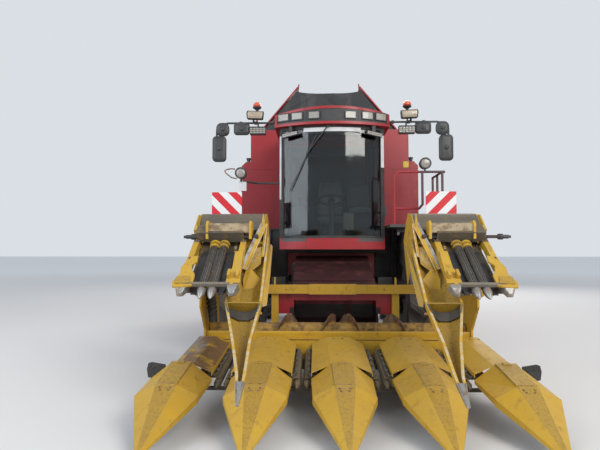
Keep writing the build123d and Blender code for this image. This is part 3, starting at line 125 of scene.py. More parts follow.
# gives a node's inputs values or links
def feed(node, inputs):
    for key, value in inputs.items():
        if isinstance(value, bpy.types.NodeSocket):
            node.id_data.links.new(value, node.inputs[key])
        else:
            node.inputs[key].default_value = value


# adds a node, sets its properties and feeds its inputs
def addNode(tree, kind, inputs=None, **settings):
    node = tree.nodes.new(kind)
    for key, value in settings.items():
        setattr(node, key, value)
    feed(node, inputs or {})
    return node


def rgba(colour):
    return (*colour, 1.0) if isinstance(colour, tuple) else colour


def shaded(colour, share):
    return tuple(value * share for value in colour)


def mixColour(tree, factor, a, b):
    return addNode(tree, "ShaderNodeMix", {0: factor, 6: rgba(a), 7: rgba(b)}, data_type="RGBA").outputs[2]


# a colour with others over it, each through its mask
def layered(tree, colour, *layers):
    for mask, upper in layers:
        colour = mixColour(tree, mask, colour, upper)
    return colour


def mathNode(tree, operation, a, b=0.0):
    return addNode(tree, "ShaderNodeMath", {0: a, 1: b}, operation=operation).outputs[0]


def times(tree, first, *others):
    for other in others:
        first = mathNode(tree, "MULTIPLY", first, other)
    return first


def ranged(tree, value, low, high, toLow=0.0, toHigh=1.0):
    names = ("Value", "From Min", "From Max", "To Min", "To Max")
    return addNode(tree, "ShaderNodeMapRange", dict(zip(names, (value, low, high, toLow, toHigh)))).outputs["Result"]


def objectPlace(tree):
    return addNode(tree, "ShaderNodeTexCoord").outputs["Object"]


def axesOf(tree, vector):
    return addNode(tree, "ShaderNodeSeparateXYZ", {0: vector}).outputs[:3]


def noise(tree, place, size, **more):
    inputs = {"Vector": place, "Scale": mathNode(tree, "DIVIDE", 1.0, size), **more}
    return addNode(tree, "ShaderNodeTexNoise", inputs).outputs["Fac"]


# blotches of a chosen size, stretched down the wall by Streak
def grimeMask(tree, given):
    x, y, z = axesOf(tree, objectPlace(tree))
    sunk = mathNode(tree, "DIVIDE", z, given["Streak"])
    place = addNode(tree, "ShaderNodeCombineXYZ", {0: x, 1: y, 2: sunk}).outputs[0]
    blotches = noise(tree, place, given["Size"], Detail=6.0, Roughness=0.62)
    return ranged(tree, blotches, given["Low"], given["High"])


# bare along the edges: where the bevelled normal leaves the true one, broken up by noise
def edgeWearMask(tree, given):
    bevel = addNode(tree, "ShaderNodeBevel", {"Radius": given["Width"]}, samples=4).outputs[0]
    true = addNode(tree, "ShaderNodeNewGeometry").outputs["Normal"]
    dot = addNode(tree, "ShaderNodeVectorMath", {0: bevel, 1: true}, operation="DOT_PRODUCT").outputs["Value"]
    broken = ranged(tree, noise(tree, objectPlace(tree), given["Breakup"], Detail=4.0), 0.42, 0.58)
    return times(tree, ranged(tree, dot, 0.99, 0.86), broken, given["Amount"])


# settles on what faces up, and thins out in patches
def dustMask(tree, given):
    up = axesOf(tree, addNode(tree, "ShaderNodeNewGeometry").outputs["Normal"])[2]
    settled = mathNode(tree, "MAXIMUM", ranged(tree, up, 0.1, 0.95), given["Everywhere"])
    patches = noise(tree, objectPlace(tree), given["Size"], Detail=8.0, Roughness=0.7)
    return times(tree, settled, ranged(tree, patches, 0.35, 0.68, 0.25, 1.0), given["Amount"])


# fine height for paint, plastic and rubber
def grainHeight(tree, given):
    place = objectPlace(tree)
    raised = times(tree, noise(tree, place, given["Coarse"]), 1.5)
    return mathNode(tree, "ADD", noise(tree, place, given["Size"]), raised)


groups = {}


# a shader group with float inputs and the one output that its build returns
def makeGroup(name, output, build, **inputs):
    group = bpy.data.node_groups.new(name, "ShaderNodeTree")
    for label, value in inputs.items():
        group.interface.new_socket(label, in_out="INPUT", socket_type="NodeSocketFloat").default_value = value
    group.interface.new_socket(output, in_out="OUTPUT", socket_type="NodeSocketFloat")
    given = group.nodes.new("NodeGroupInput").outputs
    addNode(group, "NodeGroupOutput", {output: build(group, given)})
    groups[name] = group


def placeGroup(tree, name, **values):
    return addNode(tree, "ShaderNodeGroup", values, node_tree=groups[name]).outputs[0]


def bumped(tree, height, strength, distance=0.002):
    inputs = {"Height": height, "Strength": strength, "Distance": distance}
    return addNode(tree, "ShaderNodeBump", inputs).outputs[0]


def grained(tree, size, coarse, strength):
    return bumped(tree, placeGroup(tree, "grain", Size=size, Coarse=coarse), strength)


# masks that are 1 where a value is over or under a limit
def over(tree, value, limit, soft=0.004):
    return ranged(tree, value, limit - soft, limit + soft)


def under(tree, value, limit, soft=0.004):
    return ranged(tree, value, limit - soft, limit + soft, 1.0, 0.0)


def apart(tree, value, other):
    return mathNode(tree, "ABSOLUTE", mathNode(tree, "SUBTRACT", value, other))


rowPitch = 0.75


# a look's zones, each a mask with a second colour; the tests of a zone are multiplied
def paintZones(tree, look):
    masks = []
    for zone in look.get("zones", ()):
        x, y, z = axesOf(tree, objectPlace(tree))
        side = mathNode(tree, "ABSOLUTE", x)
        tests = []
        for name, value, test, shift in (
                ("above", z, over, 0), ("below", z, under, 0), ("ahead", y, under, axleY), ("behind", y, over, axleY),
                ("left", x, over, 0), ("right", x, under, 0), ("outside", side, over, 0), ("inside", side, under, 0)):
            if name in zone:
                tests.append(test(tree, value, zone[name] + shift))
        if "rowHalf" in zone:
            counted = mathNode(tree, "DIVIDE", mathNode(tree, "ADD", x, 40 * rowPitch), rowPitch)
            away = apart(tree, mathNode(tree, "FRACT", counted), 0.5)
            tests.append(under(tree, away, zone["rowHalf"] / rowPitch))
        if "wingRow" in zone:
            middle, half = zone["wingRow"]
            tests.append(under(tree, apart(tree, side, middle), half))
        if "line" in zone:
            lineY, lineZ, radius = zone["line"]
            overY = mathNode(tree, "SUBTRACT", y, lineY + axleY)
            overZ = mathNode(tree, "SUBTRACT", z, lineZ)
            squares = mathNode(tree, "ADD", times(tree, overY, overY), times(tree, overZ, overZ))
            tests.append(under(tree, mathNode(tree, "SQRT", squares), radius, 0.008))
        if "patch" in zone:
            tests.append(placeGroup(tree, "grime", Size=zone["patch"], Low=0.42, High=0.52))
        masks.append((times(tree, *tests), zone["colour"]))
    return masks


# paint that fades in blotches, stains in streaks, chips at its edges and gathers dust
def wornPaint(tree, look):
    faded = placeGroup(tree, "grime", Size=0.9, Low=0.40, High=0.68)
    stains = placeGroup(tree, "grime", Size=look["stainSize"], Streak=look["streak"],
                        Low=look["stainLow"], High=look["stainLow"] + 0.12)
    stained = times(tree, stains, look["stain"])
    dust = placeGroup(tree, "dust", Size=0.3, Amount=look["dust"], Everywhere=look["dustEverywhere"])
    wear = placeGroup(tree, "edgeWear", Width=look["wearWidth"], Breakup=0.035, Amount=look["wear"])
    colour = layered(tree, look["paint"], (faded, look["faded"]), *paintZones(tree, look),
                     (stained, look["stainColour"]), (dust, look["dustColour"]), (wear, look["wearColour"]))
    rough = ranged(tree, mathNode(tree, "ADD", dust, stained), 0.0, 1.0, look["gloss"], 0.85)
    return {"Base Color": colour, "Roughness": rough, "Normal": grained(tree, 0.006, 0.12, look["bump"])}


paints = {
    "redPaint": dict(
        paint=(0.30, 0.006, 0.013), faded=(0.35, 0.014, 0.022), stainColour=(0.10, 0.012, 0.012), stain=0.35,
        stainSize=0.22, streak=5.0, stainLow=0.52, dustColour=(0.30, 0.085, 0.075), dust=0.40, dustEverywhere=0.20,
        wearColour=(0.38, 0.10, 0.09), wear=0.6, wearWidth=0.006, gloss=0.36, bump=0.12),
    "yellowPaint": dict(
        paint=(0.50, 0.285, 0.010), faded=(0.58, 0.350, 0.018), stainColour=(0.22, 0.115, 0.018), stain=0.45,
        stainSize=0.07, streak=1.2, stainLow=0.56, dustColour=(0.30, 0.21, 0.08), dust=0.40, dustEverywhere=0.40,
        wearColour=(0.34, 0.28, 0.19), wear=0.85, wearWidth=0.008, gloss=0.48, bump=0.2),
    "darkPaint": dict(
        paint=(0.030, 0.031, 0.034), faded=(0.050, 0.050, 0.052), stainColour=(0.07, 0.045, 0.03), stain=0.6,
        stainSize=0.15, streak=2.0, stainLow=0.5, dustColour=(0.17, 0.14, 0.11), dust=0.5, dustEverywhere=0.4,
        wearColour=(0.22, 0.20, 0.18), wear=0.7, wearWidth=0.006, gloss=0.5, bump=0.2),
    "rimPaint": dict(
        paint=(0.55, 0.53, 0.46), faded=(0.47, 0.44, 0.37), stainColour=(0.20, 0.11, 0.05), stain=0.6,
        stainSize=0.12, streak=1.2, stainLow=0.52, dustColour=(0.25, 0.19, 0.13), dust=0.5, dustEverywhere=0.4,
        wearColour=(0.25, 0.14, 0.07), wear=0.8, wearWidth=0.006, gloss=0.45, bump=0.15),
    "rustPaint": dict(
        paint=(0.12, 0.055, 0.028), faded=(0.17, 0.085, 0.042), stainColour=(0.05, 0.028, 0.018), stain=0.7,
        stainSize=0.08, streak=1.0, stainLow=0.46, dustColour=(0.24, 0.15, 0.08), dust=0.45, dustEverywhere=0.3,
        wearColour=(0.30, 0.24, 0.19), wear=0.8, wearWidth=0.007, gloss=0.55, bump=0.4),
    "beigePaint": dict(
        paint=(0.42, 0.33, 0.19), faded=(0.36, 0.30, 0.21), stainColour=(0.14, 0.08, 0.04), stain=0.8,
        stainSize=0.10, streak=1.0, stainLow=0.48, dustColour=(0.30, 0.25, 0.18), dust=0.5, dustEverywhere=0.5,
        wearColour=(0.22, 0.12, 0.06), wear=0.9, wearWidth=0.006, gloss=0.6, bump=0.3),
}

goldLine = (0.36, 0.20, 0.025)
wingRowSpan = (1.215, 0.205)

# finishes that are one of the paints with other values or with a second colour in places
paintKinds = {
    "soiledYellow": ("yellowPaint", dict(
        paint=(0.40, 0.235, 0.016), faded=(0.46, 0.285, 0.025), stain=0.55, stainSize=0.022, stainLow=0.50,
        stainColour=(0.19, 0.105, 0.020), dust=0.5, dustColour=(0.24, 0.16, 0.055))),
    "rubbedYellow": ("yellowPaint", dict(
        stain=0.8, stainSize=0.05, stainLow=0.46, stainColour=(0.50, 0.47, 0.40), dust=0.2, wear=1.0)),
    "cabPaint": ("redPaint", dict(zones=(
        dict(above=1.738, colour=(0.020, 0.021, 0.023)),
        dict(inside=0.765, above=1.655, behind=-0.60, colour=(0.055, 0.065, 0.072))))),
    # red feeder paint with painted shade: near black over the sloping top, for the shadow under the cab, and over the
    # low face, for the dark mouth
    "feederPaintAndShade": ("redPaint", dict(dust=0.12, stain=0.5, zones=(
        dict(inside=0.615, above=1.045, behind=-1.96, colour=(0.022, 0.012, 0.013)),
        dict(inside=0.585, below=0.790, colour=(0.014, 0.012, 0.012))))),
    "railPaint": ("redPaint", dict(zones=(dict(left=1.25, colour=(0.050, 0.030, 0.032)),))),
    "hoodPaint": ("yellowPaint", dict(zones=(
        dict(right=-1.62, colour=(0.30, 0.29, 0.28)),
        dict(right=-1.40, left=-1.62, patch=0.22, colour=(0.23, 0.21, 0.19)),
        dict(right=-1.22, left=-1.52, patch=0.30, colour=(0.13, 0.055, 0.025))))),
    "rowPaint": ("yellowPaint", dict(stain=0.7, dust=0.6, zones=(
        dict(rowHalf=0.205, colour=(0.050, 0.046, 0.043)),))),
    "wingRowPaint": ("yellowPaint", dict(stain=0.7, stainSize=0.10, dust=0.5, zones=(
        dict(wingRow=wingRowSpan, colour=(0.046, 0.043, 0.041)),
        dict(wingRow=wingRowSpan, ahead=-3.395, below=1.45, colour=(0.13, 0.125, 0.12)),
        dict(above=1.60, behind=-3.20, colour=(0.055, 0.050, 0.046))))),
    "wingTroughPaint": ("yellowPaint", dict(stain=0.5, zones=(
        dict(above=1.62, inside=1.50, outside=0.795, colour=(0.060, 0.058, 0.058)),))),
    # up-facing faces, the hollow's inside as folded, turn dark brown: partly dust, partly painted shade in the hollow
    "wingDividerPaint": ("yellowPaint", dict(
        stain=0.8, stainSize=0.13, stainLow=0.49, dust=0.75, dustColour=(0.17, 0.105, 0.035),
        wear=1.0, wearWidth=0.012, wearColour=(0.52, 0.49, 0.43))),
    "augerPaint": ("rustPaint", dict(zones=(dict(line=(-2.150, 0.580, 0.104), colour=goldLine),))),
    "wingAugerPaint": ("rustPaint", dict(zones=(dict(line=(-2.558, 1.701, 0.104), colour=goldLine),))),
}


# bare or rusting steel, polished where the crop or the ground rubs it
def wornMetal(tree, look):
    size, low = look["rustSize"], look["rustLow"]
    rust = placeGroup(tree, "grime", Size=size, Low=low, High=low + 0.16)
    deep = placeGroup(tree, "grime", Size=size * 0.3, Low=0.45, High=0.6)
    wear = placeGroup(tree, "edgeWear", Width=0.008, Breakup=0.03, Amount=look["wear"])
    rustColour = mixColour(tree, deep, look["rust"], look["deepRust"])
    bare = mathNode(tree, "MAXIMUM", mathNode(tree, "SUBTRACT", 1.0, rust), wear)
    return {
        "Base Color": layered(tree, look["metal"], (rust, rustColour), (wear, look["polish"])),
        "Metallic": ranged(tree, bare, 0.0, 1.0, 0.0, look["metallic"]),
        "Roughness": ranged(tree, bare, 0.0, 1.0, 0.88, look["gloss"]),
        "Normal": grained(tree, 0.004, 0.03, look["bump"]),
    }


metals = {
    "wornSteel": dict(
        metal=(0.33, 0.325, 0.315), polish=(0.52, 0.51, 0.49), rust=(0.20, 0.11, 0.06), deepRust=(0.09, 0.05, 0.03),
        rustSize=0.08, rustLow=0.52, wear=0.7, metallic=0.75, gloss=0.38, bump=0.3),
    "rustySteel": dict(
        metal=(0.22, 0.17, 0.13), polish=(0.40, 0.34, 0.28), rust=(0.19, 0.085, 0.035), deepRust=(0.075, 0.035, 0.02),
        rustSize=0.12, rustLow=0.32, wear=0.6, metallic=0.6, gloss=0.5, bump=0.45),
    "darkSteel": dict(
        metal=(0.055, 0.055, 0.058), polish=(0.20, 0.20, 0.20), rust=(0.075, 0.045, 0.03),
        deepRust=(0.035, 0.022, 0.016), rustSize=0.1, rustLow=0.5, wear=0.8, metallic=0.6, gloss=0.42, bump=0.35),
    "chainSteel": dict(
        metal=(0.20, 0.19, 0.18), polish=(0.45, 0.44, 0.42), rust=(0.09, 0.055, 0.035), deepRust=(0.045, 0.028, 0.02),
        rustSize=0.05, rustLow=0.48, wear=0.6, metallic=0.7, gloss=0.42, bump=0.3),
    "chromeRod": dict(
        metal=(0.75, 0.75, 0.76), polish=(0.8, 0.8, 0.8), rust=(0.45, 0.42, 0.38), deepRust=(0.35, 0.32, 0.28),
        rustSize=0.2, rustLow=0.62, wear=0.1, metallic=1.0, gloss=0.12, bump=0.02),
}
metals["mirrorGlass"] = {**metals["chromeRod"], "gloss": 0.04, "wear": 0.0}


# rubber or moulded plastic with a fine grain and dust in its recesses
def moulded(tree, look):
    faded = placeGroup(tree, "grime", Size=look["patch"], Low=0.4, High=0.65)
    dust = placeGroup(tree, "dust", Size=look["patch"], Amount=look["dust"], Everywhere=look["dustEverywhere"])
    return {
        "Base Color": layered(tree, look["colour"], (faded, look["faded"]), (dust, look["dustColour"])),
        "Roughness": ranged(tree, dust, 0.0, 1.0, look["gloss"], 0.92),
        "Normal": grained(tree, look["grain"], 0.05, look["bump"]),
    }


mouldings = {
    "tyreRubber": dict(
        colour=(0.022, 0.022, 0.023), faded=(0.045, 0.043, 0.040), dustColour=(0.20, 0.16, 0.11), patch=0.18,
        dust=0.75, dustEverywhere=0.35, gloss=0.72, grain=0.006, bump=0.35),
    "flapRubber": dict(
        colour=(0.016, 0.016, 0.017), faded=(0.030, 0.030, 0.031), dustColour=(0.11, 0.10, 0.085), patch=0.12,
        dust=0.5, dustEverywhere=0.3, gloss=0.6, grain=0.004, bump=0.3),
    "blackPlastic": dict(
        colour=(0.018, 0.019, 0.021), faded=(0.032, 0.033, 0.036), dustColour=(0.16, 0.15, 0.14), patch=0.2,
        dust=0.35, dustEverywhere=0.25, gloss=0.45, grain=0.002, bump=0.15),
    "cabPlastic": dict(
        colour=(0.060, 0.072, 0.080), faded=(0.080, 0.092, 0.100), dustColour=(0.20, 0.19, 0.17), patch=0.3,
        dust=0.3, dustEverywhere=0.2, gloss=0.55, grain=0.002, bump=0.15),
    "whitePlastic": dict(
        colour=(0.62, 0.64, 0.66), faded=(0.50, 0.52, 0.54), dustColour=(0.40, 0.37, 0.32), patch=0.15,
        dust=0.5, dustEverywhere=0.4, gloss=0.5, grain=0.003, bump=0.1),
    "yellowPlastic": dict(
        colour=(0.72, 0.52, 0.02), faded=(0.62, 0.45, 0.05), dustColour=(0.35, 0.28, 0.15), patch=0.1,
        dust=0.4, dustEverywhere=0.3, gloss=0.45, grain=0.003, bump=0.1),
    "cardboard": dict(
        colour=(0.36, 0.30, 0.21), faded=(0.42, 0.36, 0.27), dustColour=(0.35, 0.31, 0.25), patch=0.1,
        dust=0.3, dustEverywhere=0.2, gloss=0.85, grain=0.004, bump=0.15),
}


def glass(tree, colour, roughness):
    smear = placeGroup(tree, "grime", Size=0.25, Streak=3.0, Low=0.45, High=0.75)
    return {
        "Base Color": mixColour(tree, times(tree, smear, 0.5), colour, shaded(colour, 0.75)),
        "Roughness": ranged(tree, smear, 0.0, 1.0, roughness, roughness + 0.12),
        "Transmission Weight": 1.0, "IOR": 1.45,
    }


warningBoard = {
    "period": 0.262, "red": (0.55, 0.012, 0.022), "white": (0.70, 0.71, 0.72), "dirt": (0.30, 0.27, 0.24),
    "arm": (0.035, 0.033, 0.034), "armBehind": -1.047,
}


# diagonals that fall outwards on both sides, from the distance to the middle plane
def warningStripes(tree, look):
    x, y, z = axesOf(tree, objectPlace(tree))
    slant = mathNode(tree, "SUBTRACT", z, mathNode(tree, "ABSOLUTE", x))
    counted = mathNode(tree, "DIVIDE", mathNode(tree, "ADD", slant, 10.02), look["period"])
    red = mathNode(tree, "GREATER_THAN", mathNode(tree, "FRACT", counted), 0.5)
    spots = placeGroup(tree, "grime", Size=0.03, Low=0.66, High=0.72)
    arm = over(tree, y, look["armBehind"] + axleY, 0.001)
    colour = layered(tree, look["white"], (red, look["red"]), (spots, look["dirt"]), (arm, look["arm"]))
    return {"Base Color": colour, "Roughness": 0.4, "Normal": grained(tree, 0.003, 0.05, 0.08)}


def ribs(tree, scale, axis, **more):
    inputs = {"Vector": objectPlace(tree), "Scale": scale, **more}
    return addNode(tree, "ShaderNodeTexWave", inputs, bands_direction=axis).outputs["Fac"]


# a moulded lens whose ribs carry a painted reflection of the bright bowl behind, as lighter copies of the lens colour
def lens(tree, colour, bowlReflection):
    bands = ribs(tree, 60.0, "X")
    dirt = placeGroup(tree, "grime", Size=0.05, Low=0.4, High=0.8)
    shade = layered(tree, colour, (bands, shaded(colour, bowlReflection)), (times(tree, dirt, 0.4), (0.25, 0.22, 0.18)))
    return {"Base Color": shade, "Roughness": ranged(tree, dirt, 0.0, 1.0, 0.12, 0.4), "Coat Weight": 0.6,
            "Normal": bumped(tree, bands, 0.4, 0.001)}


# coated cloth: a weave too fine to see as lines, a few pale rubbed patches
def canvas(tree, colour, stain):
    weave = times(tree, ribs(tree, 160.0, "X"), ribs(tree, 160.0, "Z"))
    rubbed = placeGroup(tree, "grime", Size=0.35, Streak=2.5, Low=0.54, High=0.74)
    shade = layered(tree, shaded(colour, 0.8), (weave, colour), (times(tree, rubbed, 0.6), stain))
    return {"Base Color": shade, "Roughness": 0.7, "Sheen Weight": 0.2, "Normal": bumped(tree, weave, 0.4, 0.001)}


# pale near the machine, paler towards the horizon
def paleFloor(tree):
    away = addNode(tree, "ShaderNodeVectorMath", {0: objectPlace(tree)}, operation="LENGTH").outputs["Value"]
    far = ranged(tree, away, studio["farFrom"], studio["farTo"])
    return {"Base Color": mixColour(tree, far, studio["floorColour"], studio["farColour"]), "Roughness": 0.9}


materials = {}

# build, then its values
otherMaterials = {
    "cabGlass": (glass, (0.36, 0.42, 0.44), 0.03),
    # lens colours, then how much lighter their ribs are painted as the bowl's reflection
    "amberLens": (lens, (0.55, 0.06, 0.015), 1.4),
    "amberedLens": (lens, (0.30, 0.24, 0.17), 1.3),
    "clearLens": (lens, (0.24, 0.225, 0.20), 1.25),
    "redLens": (lens, (0.30, 0.010, 0.010), 1.4),
    "warningStripes": (warningStripes, warningBoard),
    "tankCloth": (canvas, (0.034, 0.036, 0.040), (0.13, 0.12, 0.11)),
    "seatCloth": (canvas, (0.20, 0.20, 0.20), (0.34, 0.34, 0.33)),
    "paleFloor": (paleFloor,),
}


# a material whose build returns the inputs of its Principled BSDF
def makeMaterial(name, build, *values):
    material = bpy.data.materials.new(name)
    material.use_nodes = True
    tree = material.node_tree
    feed(tree.nodes["Principled BSDF"], build(tree, *values))
    materials[name] = material


def makeMaterials():
    makeGroup("grime", "Mask", grimeMask, Size=0.2, Streak=1.0, Low=0.45, High=0.65)
    makeGroup("edgeWear", "Mask", edgeWearMask, Width=0.008, Breakup=0.05, Amount=1.0)
    makeGroup("dust", "Mask", dustMask, Size=0.25, Amount=0.6, Everywhere=0.15)
    makeGroup("grain", "Height", grainHeight, Size=0.004, Coarse=0.06)
    kinds = {name: {**paints[kind], **changes} for name, (kind, changes) in paintKinds.items()}
    for build, looks in ((wornPaint, {**paints, **kinds}), (wornMetal, metals), (moulded, mouldings)):
        for name, look in looks.items():
            makeMaterial(name, build, look)
    for name, (build, *values) in otherMaterials.items():
        makeMaterial(name, build, *values)
    print("materials:", len(materials))


# which finish each carried-over node gets; * stands for left and right
finishes = {
    "redPaint": "threshing_body side_shields service_door_* grain_tank tank_cover_* unloader_tube engine_hood"
                " rear_hood cab_roof",
    "feederPaintAndShade": "feeder_house",
    "cabPaint": "cab_shell",
    "railPaint": "handrails",
    "yellowPaint": "header_frame header_trough snouts",
    "hoodPaint": "hoods",
    "rowPaint": "row_units",
    "wingTroughPaint": "wing_trough_*",
    "wingRowPaint": "wing_row_unit_*",
    "wingDividerPaint": "wing_divider_*",
    "augerPaint": "header_auger",
    "wingAugerPaint": "wing_auger_*",
    "darkPaint": "front_axle rear_axle knuckle_* frame engine rotary_screen cab_door platform lift_barrels",
    "rimPaint": "front_rim_* rear_rim_*",
    "wornSteel": "spreader_*",
    "chromeRod": "lift_rods",
    "tyreRubber": "front_tyre_* rear_tyre_*",
    "blackPlastic": "mirrors lamps roof_fascia",
    "cabPlastic": "steering_column console",
    "cabGlass": "cab_glass door_glass",
    "amberLens": "beacons",
    "warningStripes": "warning_boards",
    "tankCloth": "tank_canvas",
    "seatCloth": "seat",
}


def finishNodes():
    for finish, names in finishes.items():
        for name in names.split():
            for side in ("left", "right") if "*" in name else ("",):
                mesh = nodes[name.replace("*", side)].data
                mesh.materials.clear()
                mesh.materials.append(materials[finish])
    print("carried-over nodes finished")


def makeFloor():
    mesh = bpy.data.meshes.new("floor")
    reach = studio["floorReach"]
    corners = [(-reach, -reach, 0), (reach, -reach, 0), (reach, reach, 0), (-reach, reach, 0)]
    mesh.from_pydata(corners, [], [(0, 1, 2, 3)])
    mesh.materials.append(materials["paleFloor"])
    addToScene("floor", mesh)


# Making pieces


def startShape():
    return {"points": [], "faces": [], "finishes": []}


def addFaces(shape, points, faces, finish=0):
    first = len(shape["points"])
    shape["points"] += [Vector(point) for point in points]
    shape["faces"] += [tuple(first + corner for corner in face) for face in faces]
    shape["finishes"] += [finish] * len(faces)


# rings of equal count joined in turn, the two ends closed
def addLoft(shape, rings, finish=0):
    count = len(rings[0])
    faces = []
    for low in range(0, (len(rings) - 1) * count, count):
        for k in range(count):
            after = (k + 1) % count
            faces.append((low + k, low + after, low + count + after, low + count + k))
    faces.append(tuple(reversed(range(count))))
    faces.append(tuple(range((len(rings) - 1) * count, len(rings) * count)))
    addFaces(shape, [point for ring in rings for point in ring], faces, finish)


# a flat outline thickened by a step
def addSlab(shape, ring, step, finish=0):
    addLoft(shape, [ring, [point + Vector(step) for point in ring]], finish)


def addBlock(shape, middle, size, turn=None, finish=0):
    rings = []
    for z in (-0.5, 0.5):
        ring = []
        for x, y in ((-0.5, -0.5), (0.5, -0.5), (0.5, 0.5), (-0.5, 0.5)):
            corner = Vector((x * size[0], y * size[1], z * size[2]))
            ring.append(Vector(middle) + (turn @ corner if turn else corner))
        rings.append(ring)
    addLoft(shape, rings, finish)


# a block between two x, two lengths from the axle and two heights
def addBox(shape, x, y, z, finish=0):
    middle, size = zip(*(((low + high) / 2, high - low) for low, high in (x, y, z)))
    addBlock(shape, fromAxle(*middle), size, finish=finish)


def circle(middle, side, up, radius, sides):
    turns = [2 * math.pi * k / sides for k in range(sides)]
    return [middle + (side * math.cos(a) + up * math.sin(a)) * radius for a in turns]


# a tube through points; radius is one number or one for each point
def addTube(shape, path, radius, sides=8, finish=0):
    path = [Vector(point) for point in path]
    radii = radius if hasattr(radius, "__len__") else [radius] * len(path)
    side = (path[1] - path[0]).orthogonal().normalized()
    rings = []
    for number, point in enumerate(path):
        forward = (path[min(number + 1, len(path) - 1)] - path[max(number - 1, 0)]).normalized()
        side = (side - forward * side.dot(forward)).normalized()
        rings.append(circle(point, side, forward.cross(side), radii[number], sides))
    addLoft(shape, rings, finish)


# a profile of (radius, distance along) spun about an axis through centre
def addSpun(shape, centre, axis, profile, sides=24, finish=0):
    axis = Vector(axis).normalized()
    side = axis.orthogonal().normalized()
    rings = [circle(Vector(centre) + axis * along, side, axis.cross(side), max(radius, 0.0005), sides)
             for radius, along in profile]
    addLoft(shape, rings, finish)


# a rounded rectangle facing forwards, at a length y, shrunk by inset
def roundedRing(x, z, y, corner, inset=0.0):
    steps = 4
    reach = max(corner - inset, 0.002)
    ring = []
    for cx, cz, start in ((x[1], z[1], 0), (x[0], z[1], 90), (x[0], z[0], 180), (x[1], z[0], 270)):
        middleX = cx - math.copysign(corner, cx - (x[0] + x[1]) / 2)
        middleZ = cz - math.copysign(corner, cz - (z[0] + z[1]) / 2)
        for k in range(steps + 1):
            turn = math.radians(start + 90 * k / steps)
            ring.append(fromAxle(middleX + reach * math.cos(turn), y, middleZ + reach * math.sin(turn)))
    return ring


# how far a bowed front has fallen back at x, seen from above
def bowY(x, bow, out=0.0):
    radius = (bow["half"] ** 2 + bow["depth"] ** 2) / (2 * bow["depth"])
    return bow["front"] - out + radius - math.sqrt(radius ** 2 - x * x)


# a strip that follows a bowed front, between two x, two heights and two distances out
def addBowBand(shape, x, z, out, bow, finish=0, steps=12):
    rings = []
    for k in range(steps + 1):
        at = x[0] + (x[1] - x[0]) * k / steps
        corners = ((out[0], z[0]), (out[1], z[0]), (out[1], z[1]), (out[0], z[1]))
        rings.append([fromAxle(at, bowY(at, bow, distance), height) for distance, height in corners])
    addLoft(shape, rings, finish)


# a flat outline of (x, z) between two y
def addPlate(shape, outline, y, finish=0):
    addLoft(shape, [[fromAxle(px, at, pz) for px, pz in outline] for at in y], finish)


def finishShape(shape, name, finishNames, body="root", bevel=0.0, smooth=False):
    mesh = bpy.data.meshes.new(name)
    mesh.from_pydata([tuple(point) for point in shape["points"]], [], shape["faces"])
    mesh.polygons.foreach_set("material_index", shape["finishes"])
    form = bmesh.new()
    form.from_mesh(mesh)
    bmesh.ops.recalc_face_normals(form, faces=form.faces)
    form.to_mesh(mesh)
    form.free()
    for finish in finishNames:
        mesh.materials.append(materials[finish])
    if smooth:
        mesh.polygons.foreach_set("use_smooth", [True] * len(mesh.polygons))
        mesh.set_sharp_from_angle(angle=math.radians(38))
    piece = addToScene(name, mesh)
    if bevel:
        edges = piece.modifiers.new("edges", "BEVEL")
        edges.width = bevel
        edges.segments = 2
        edges.limit_method = "ANGLE"
    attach(piece, body)
    return piece


repeatTrees = {}


# a Geometry Nodes tree with float inputs and a finish; what its build returns is made real and painted
def makeRepeatTree(form, name, build, **inputs):
    tree = bpy.data.node_groups.new(name, "GeometryNodeTree")
    tree.is_modifier = True
    sockets = tree.interface
    sockets.new_socket("Geometry", in_out="INPUT", socket_type="NodeSocketGeometry")
    for label, value in inputs.items():
        sockets.new_socket(label, in_out="INPUT", socket_type="NodeSocketFloat").default_value = value
    sockets.new_socket("Finish", in_out="INPUT", socket_type="NodeSocketMaterial")
    sockets.new_socket("Geometry", in_out="OUTPUT", socket_type="NodeSocketGeometry")
    given = tree.nodes.new("NodeGroupInput").outputs
    real = addNode(tree, "GeometryNodeRealizeInstances", {"Geometry": build(tree, given)}).outputs[0]
    painted = addNode(tree, "GeometryNodeSetMaterial", {"Geometry": real, "Material": given["Finish"]})
    addNode(tree, "NodeGroupOutput", {"Geometry": painted.outputs[0]})
    repeatTrees[form] = tree


def meshBlock(tree, width, length, height):
    size = addNode(tree, "ShaderNodeCombineXYZ", {0: width, 1: length, 2: height}).outputs[0]
    return addNode(tree, "GeometryNodeMeshCube", {"Size": size}).outputs["Mesh"]


def setOn(tree, points, form, turn):
    inputs = {"Points": points, "Instance": form, "Rotation": turn}
    return addNode(tree, "GeometryNodeInstanceOnPoints", inputs)


# sets a form on every point, turned by the points' attributes
def scattered(tree, given, form):
    turn = None
    for name, axis in (("facing", "Z"), ("along", "X")):
        vector = addNode(tree, "GeometryNodeInputNamedAttribute", {"Name": name}, data_type="FLOAT_VECTOR")
        node = addNode(tree, "FunctionNodeAlignRotationToVector", {"Vector": vector.outputs["Attribute"]}, axis=axis)
        if turn:
            node.pivot_axis = "Z"
            feed(node, {"Rotation": turn})
        turn = node.outputs["Rotation"]
    return setOn(tree, given["Geometry"], form, turn).outputs["Instances"]


def studs(tree, given):
    inputs = {"Vertices": 8, "Radius Bottom": times(tree, given["Width"], 0.5),
              "Radius Top": times(tree, given["Width"], 0.32), "Depth": given["Height"]}
    return scattered(tree, given, addNode(tree, "GeometryNodeMeshCone", inputs).outputs["Mesh"])


def blocks(tree, given):
    return scattered(tree, given, meshBlock(tree, given["Width"], given["Length"], given["Height"]))


